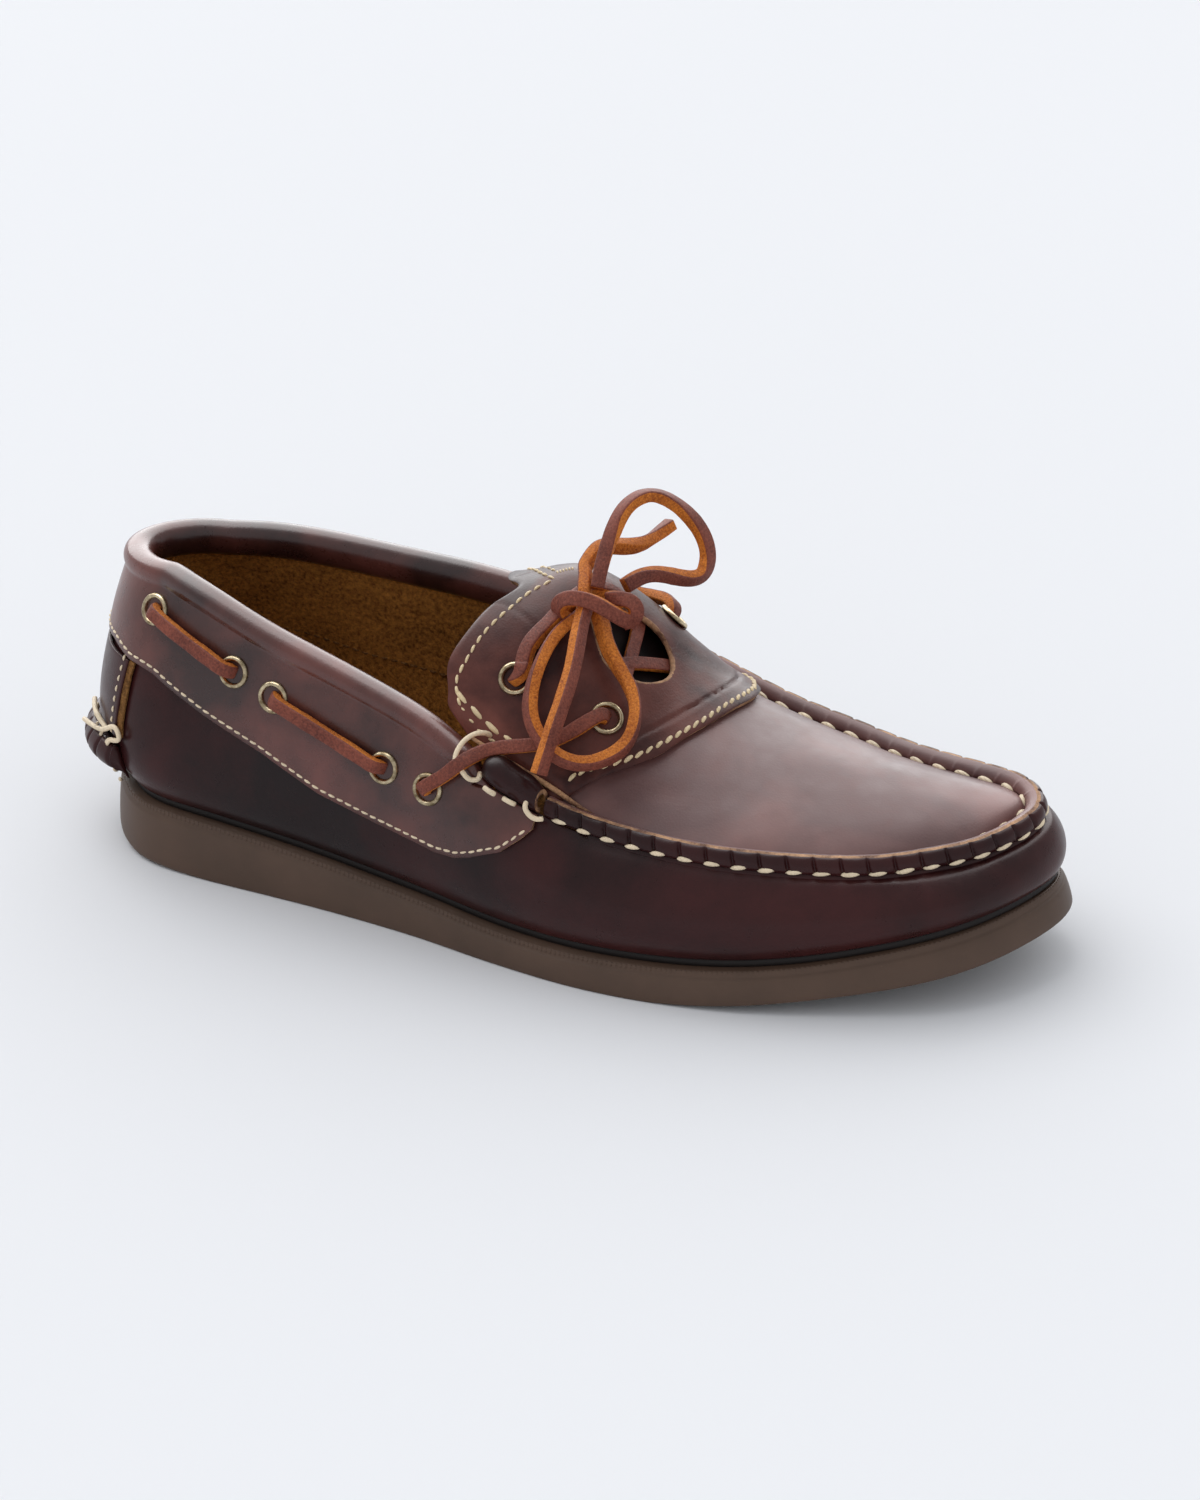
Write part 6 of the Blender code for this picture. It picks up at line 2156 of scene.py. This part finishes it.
@dataclass
class Lacing:
    """Rawhide lace: bow, side runs and the bars across the throat."""

    last: Last
    diameter: float = 3.6
    width: float = 4.0
    flat: float = 3.1
    face: float = 4.1
    side: float = 3.5

    def tube(self, name: str, route: Points, up: Points, wide: float, thick: float) -> Piece:
        """Square strip of lace with soft corners: grain outside, cut sides elsewhere.

        Args:
            name: Name of the piece.
            route: Centreline.
            up: Direction of the grain side at each point.
            wide: Size across.
            thick: Size from grain side to grain side.

        Returns:
            The linked object.
        """
        tangent = unit(np.gradient(route, axis=0))
        up = unit(up - tangent * np.sum(up * tangent, axis=1)[:, None])
        side = np.cross(tangent, up)
        soft = 0.28
        corners = []
        for a, b in ((-1.0, -1.0), (1.0, -1.0), (1.0, 1.0), (-1.0, 1.0)):
            mid = 1.0 - 0.3 * soft
            near = ((a, b * (1.0 - soft)), (a * mid, b * mid), (a * (1.0 - soft), b))
            corners += near if a * b > 0.0 else near[::-1]
        uneven = 1.0 + 0.05 * ripple(route, 13.0, 1.0) + 0.03 * ripple(route, 5.0, 2.0)
        rings = [route + side * (a * wide / 2.0 * uneven)[:, None] + up * (b * thick / 2.0 * uneven)[:, None]
                 for a, b in corners]
        kinds = [0 if corners[k][1] + corners[(k + 1) % 12][1] > 1.6 else 1 for k in range(12)]
        return swept(name, np.stack(rings, axis=1), kinds=kinds, caps=1)

    def facing_along(self, route: Points, hints: Table) -> Points:
        """Direction of the grain side at each point of a route, from a few hints.

        Args:
            route: Centreline.
            hints: Directions right, up and near, evenly along the route.

        Returns:
            One direction a point.
        """
        turns = stance((0.0, 0.0, 0.0), hints)
        knots = np.linspace(0.0, 1.0, len(hints))
        share = arc_lengths(route)
        share = share / share[-1]
        return np.column_stack([np.interp(share, knots, turns[:, k]) for k in range(3)])

    def free(self, name: str) -> None:
        """One declared length of the bow.

        Args:
            name: CAD node of the length.
        """
        route = smooth_route(CORDS[name], 0.7)
        plan = CORD_PLANS[name]
        share = arc_lengths(route)
        lean = np.sin(math.pi * share / share[-1])[:, None] ** 0.7 * stance((0.0, 0.0, 0.0), [plan.lean])
        grain = self.facing_along(route, plan.grain)
        item = self.tube(f"{name}_strip", route + lean, grain, self.face, self.side)
        dress(item, LACE, [name])

    def knot(self) -> None:
        """Turn of lace round the bow's middle, its lead, the bend out of it and the roots of the strands."""
        (x, across), start = STAY_EYELETS[1], np.array(CORDS["lace_knot"][0])
        bore = [self.last.spot(x, -across, height) for height in (-1.5, 1.5)]
        route = smooth_route([*bore, start, start + np.array([-0.1, 1.0, 1.3])], 0.6)
        hints = CORD_PLANS["lace_knot"].grain[:2]
        made = [self.tube("lead", route, self.facing_along(route, hints), self.face, self.side)]
        for offsets, grain, wide, thick in STRANDS:
            route = smooth_route(stance(KNOT_AT, offsets), 0.6)
            made.append(self.tube("strand", route, self.facing_along(route, grain), wide, thick))
        dress(joined("bow_knot", made), LACE)

    def run(self, side: Side, name: str, first: int, last_one: int) -> None:
        """Lace between two collar eyelets, dipping into each.

        Args:
            side: Side of the shoe.
            name: Name of the run.
            first: Number of its rear eyelet.
            last_one: Number of its front eyelet.
        """
        last = self.last
        (x_a, rise_a), (x_b, rise_b) = COLLAR_EYELETS[first], COLLAR_EYELETS[last_one]
        share = np.linspace(0.0, 1.0, 60)
        reach = abs(x_b - x_a)
        dip = np.clip(np.minimum(share, 1.0 - share) * reach / 3.2, 0.0, 1.0)
        height = -1.0 + 5.9 * np.sqrt(1.0 - (1.0 - dip) ** 2) - 0.3 * np.sin(math.pi * share)
        rise = rise_a + (rise_b - rise_a) * share
        column = last.column(x_a + (x_b - x_a) * share, side)
        route = smooth_route(last.wall_layer(column, rise, height), 1.0)
        near = np.interp(np.linspace(0.0, 1.0, len(route)), share, np.arange(60))
        column = np.interp(near, np.arange(60), column)
        normals = last.wall_normal(column, np.interp(near, np.arange(60), rise))
        item = self.tube(f"{name}_lace_{side.name.lower()}", route, normals, self.width, self.flat)
        dress(item, LACE, [f"lace_run_{side.name.lower()}_{name}"])

    def front_run(self, side: Side) -> None:
        """Lace from the collar's front eyelet to the saddle's lower one.

        Args:
            side: Side of the shoe.
        """
        last = self.last
        x, rise = COLLAR_EYELETS[-1]
        column = last.column(x, side)
        out = last.wall_normal(column, rise)[0]
        knots = [last.wall_layer(column, rise, height)[0] for height in (-0.5, 4.6)]
        knots[1] = knots[1] + UP * 0.8
        for x, inset, up in OVER_TAB:
            place = last.column(x, side)
            knots.append(last.wall(place, 1.0)[0] + last.inward(place)[0] * inset + UP * up)
        knots += [last.spot(x, side.value * across, height) for x, across, height in OVER_STAY]
        x, across = STAY_EYELETS[0]
        top = last.instep_normal(last.station([x]), side.value * across)[0]
        knots += [last.spot(x, side.value * across, 4.6) + np.array([-1.6, 0.0, 0.0]),
                  last.spot(x, side.value * across, -0.3)]
        route = smooth_route(knots, 1.0)
        share = np.linspace(0.0, 1.0, len(route))[:, None]
        normals = unit(out * (1.0 - share) + top * share)
        item = self.tube(f"front_lace_{side.name.lower()}", route, normals, self.width, self.flat)
        dress(item, LACE, [f"lace_run_{side.name.lower()}_front"])

    def bars(self) -> None:
        """Bar and slanted crossing under the keyhole."""
        last = self.last
        made = []
        for x_a, across_a, x_b, across_b, thick in BARS:
            place, across = last.station(np.linspace(x_a, x_b, 40)), np.linspace(across_a, across_b, 40)
            route = last.instep_layer(place, across, BAR_HEIGHT)
            made.append(self.tube("bar", route, last.instep_normal(place, across), self.width, thick))
        dress(joined("throat_bars", made), LACE, ["lace_bars"])

    def build(self) -> None:
        """Build the lacing on the shoe; the bow is made before it."""
        for side in Side:
            self.run(side, "rear", 0, 1)
            self.run(side, "middle", 2, 3)
            self.front_run(side)
        self.bars()
        self.knot()


@dataclass
class Tabs:
    """Rolled ends of the ridge under the front lace."""

    last: Last
    inward: float = 0.8
    lift: float = 0.45
    leather: float = 1.4
    opening: float = 0.9
    thread: float = 1.5

    def tab(self, side: Side) -> None:
        """Open tube of leather on one side.

        Args:
            side: Side of the shoe.
        """
        last = self.last
        table = np.array(TAB)
        x = np.linspace(table[0, 0], table[-1, 0], 24)
        radius = natural_spline(table[:, 0], table[:, 1], x)[:, 0]
        column = last.column(x, side)
        top, inward = last.wall(column, 1.0), last.inward(column)
        centre = top + inward * self.inward + UP * (self.lift + radius)[:, None]
        turns = np.linspace(self.opening - 0.5 * math.pi, 1.5 * math.pi - 0.2, 26)
        loop = [(1.0, turn) for turn in turns] + [(0.0, turn) for turn in turns[::-1]]
        rings = []
        for far, turn in loop:
            reach = radius if far else radius - self.leather
            spoke = inward * math.cos(turn) + UP * math.sin(turn)
            rings.append(centre + spoke * reach[:, None])
        kinds = [0] * 25 + [1] + [2] * 25 + [1]
        item = swept(f"rolled_tab_{side.name.lower()}", np.stack(rings, axis=1), kinds=kinds, caps=1)
        dress(item, [Finish.WALL, Finish.EDGE, Finish.STRIP], [f"tab_roll_{side.name.lower()}"])

    def threads(self) -> None:
        """Thick hand threads: a ring round the tab's rear end, a loop and two stitches at its front."""
        made = [thick_thread(stance(origin, offsets), self.thread) for origin, offsets in TAB_THREADS]
        dress(joined("tab_threads", made), [Finish.THREAD])

    def seam_edge(self) -> None:
        """Raw edge that shows between the tab and the saddle."""
        last = self.last
        knots = np.array(SEAM_EDGE)
        x = np.linspace(knots[0, 0], knots[-1, 0], 120)
        across, height, half = (natural_spline(knots[:, 0], knots[:, k], x)[:, 0] for k in (1, 2, 3))
        place = last.station(x)
        soft = 0.12 * ripple(last.instep(place, across), 6.0, 4.0)
        middle = last.instep_layer(place, across, height + soft)
        out = last.instep_normal(place, across)
        side = unit(np.cross(np.gradient(middle, axis=0), out))
        rings = oval_rings(middle, side * 1.25 * half[:, None], out * half[:, None], 12)
        dress(swept("seam_edge", rings), [Finish.EDGE])

    def build(self) -> None:
        """Build both tabs and what is sewn round the lateral one."""
        for side in Side:
            self.tab(side)
        self.threads()
        self.seam_edge()


# ---- studio and main
@dataclass
class Studio:
    """Pale floor, soft light and the camera."""

    target: tuple[float, float, float] = (0.008, 0.0, 0.048)
    place: tuple[float, float, float] = (0.6035, -1.3596, 0.8189)
    roll: float = 0.35
    lens: float = 138.0

    def camera(self) -> None:
        """Camera that looks down on the lateral side."""
        data = bpy.data.cameras.new("camera")
        data.sensor_width = 36.0
        data.lens = self.lens
        item = link(bpy.data.objects.new("camera", data))
        back = (Vector(self.place) - Vector(self.target)).normalized()
        right = Vector((0.0, 0.0, 1.0)).cross(back).normalized()
        up = back.cross(right)
        turn = math.radians(self.roll)
        right, up = right * math.cos(turn) - up * math.sin(turn), right * math.sin(turn) + up * math.cos(turn)
        item.matrix_world = Matrix.Translation(self.place) @ Matrix((right, up, back)).transposed().to_4x4()
        bpy.context.scene.camera = item

    def build(self) -> None:
        """Build floor, world and lamps."""
        self.floor()
        world = bpy.data.worlds.new("room")
        world.use_nodes = True
        background = world.node_tree.nodes["Background"]
        background.inputs["Color"].default_value = (0.95, 0.97, 1.0, 1.0)
        background.inputs["Strength"].default_value = 0.71
        bpy.context.scene.world = world
        self.sun("window", (-0.38, 0.85, 0.74), 62.0, 0.3)
        self.sun("ceiling", (-0.55, 0.05, 0.95), 60.0, 0.85)
        self.sun("sheen", (-0.42, 0.8, 0.85), 90.0, 5.4).visible_diffuse = False

    def sun(self, name: str, place: Sequence[float], angle: float, power: float) -> Piece:
        """Wide, soft light from far away.

        Args:
            name: Name of the light.
            place: Direction that it comes from.
            angle: Its width in degrees.
            power: Its strength.

        Returns:
            The light.
        """
        data = bpy.data.lights.new(name, "SUN")
        data.angle = math.radians(angle)
        data.energy = power
        item = link(bpy.data.objects.new(name, data))
        item.rotation_euler = Vector(place).to_track_quat("Z", "Y").to_euler()
        return item

    def floor(self) -> None:
        """Plain pale floor."""
        mesh = bpy.data.meshes.new("floor")
        half = 6.0
        mesh.from_pydata([(-half, -half, 0.0), (half, -half, 0.0), (half, half, 0.0), (-half, half, 0.0)], [],
                         [(0, 1, 2, 3)])
        graph = Graph("pale_floor")
        share = graph.span(graph.noise(0.7, 2.0), 0.3, 0.7)
        tone = graph.blend(share, paint(232, 233, 236), paint(236, 237, 240))
        mesh.materials.append(graph.finish(tone, 0.9))
        link(bpy.data.objects.new("floor", mesh))
        bpy.context.scene.view_settings.view_transform = "Standard"


def main() -> None:
    """Build the shoe, the studio and the camera."""
    logging.basicConfig(level=logging.INFO, format="%(message)s")
    studio = Studio()
    studio.camera()
    last = Last()
    lacing = Lacing(last)
    for name in CORDS:
        lacing.free(name)
    sewing = Sewing()
    for part in (Sole(last), Upper(last, sewing), LaceStay(last, sewing), Collar(last, sewing),
                 Heel(last, sewing), Eyelets(last), Tabs(last), lacing, studio):
        part.build()


if __name__ == "__main__":
    main()
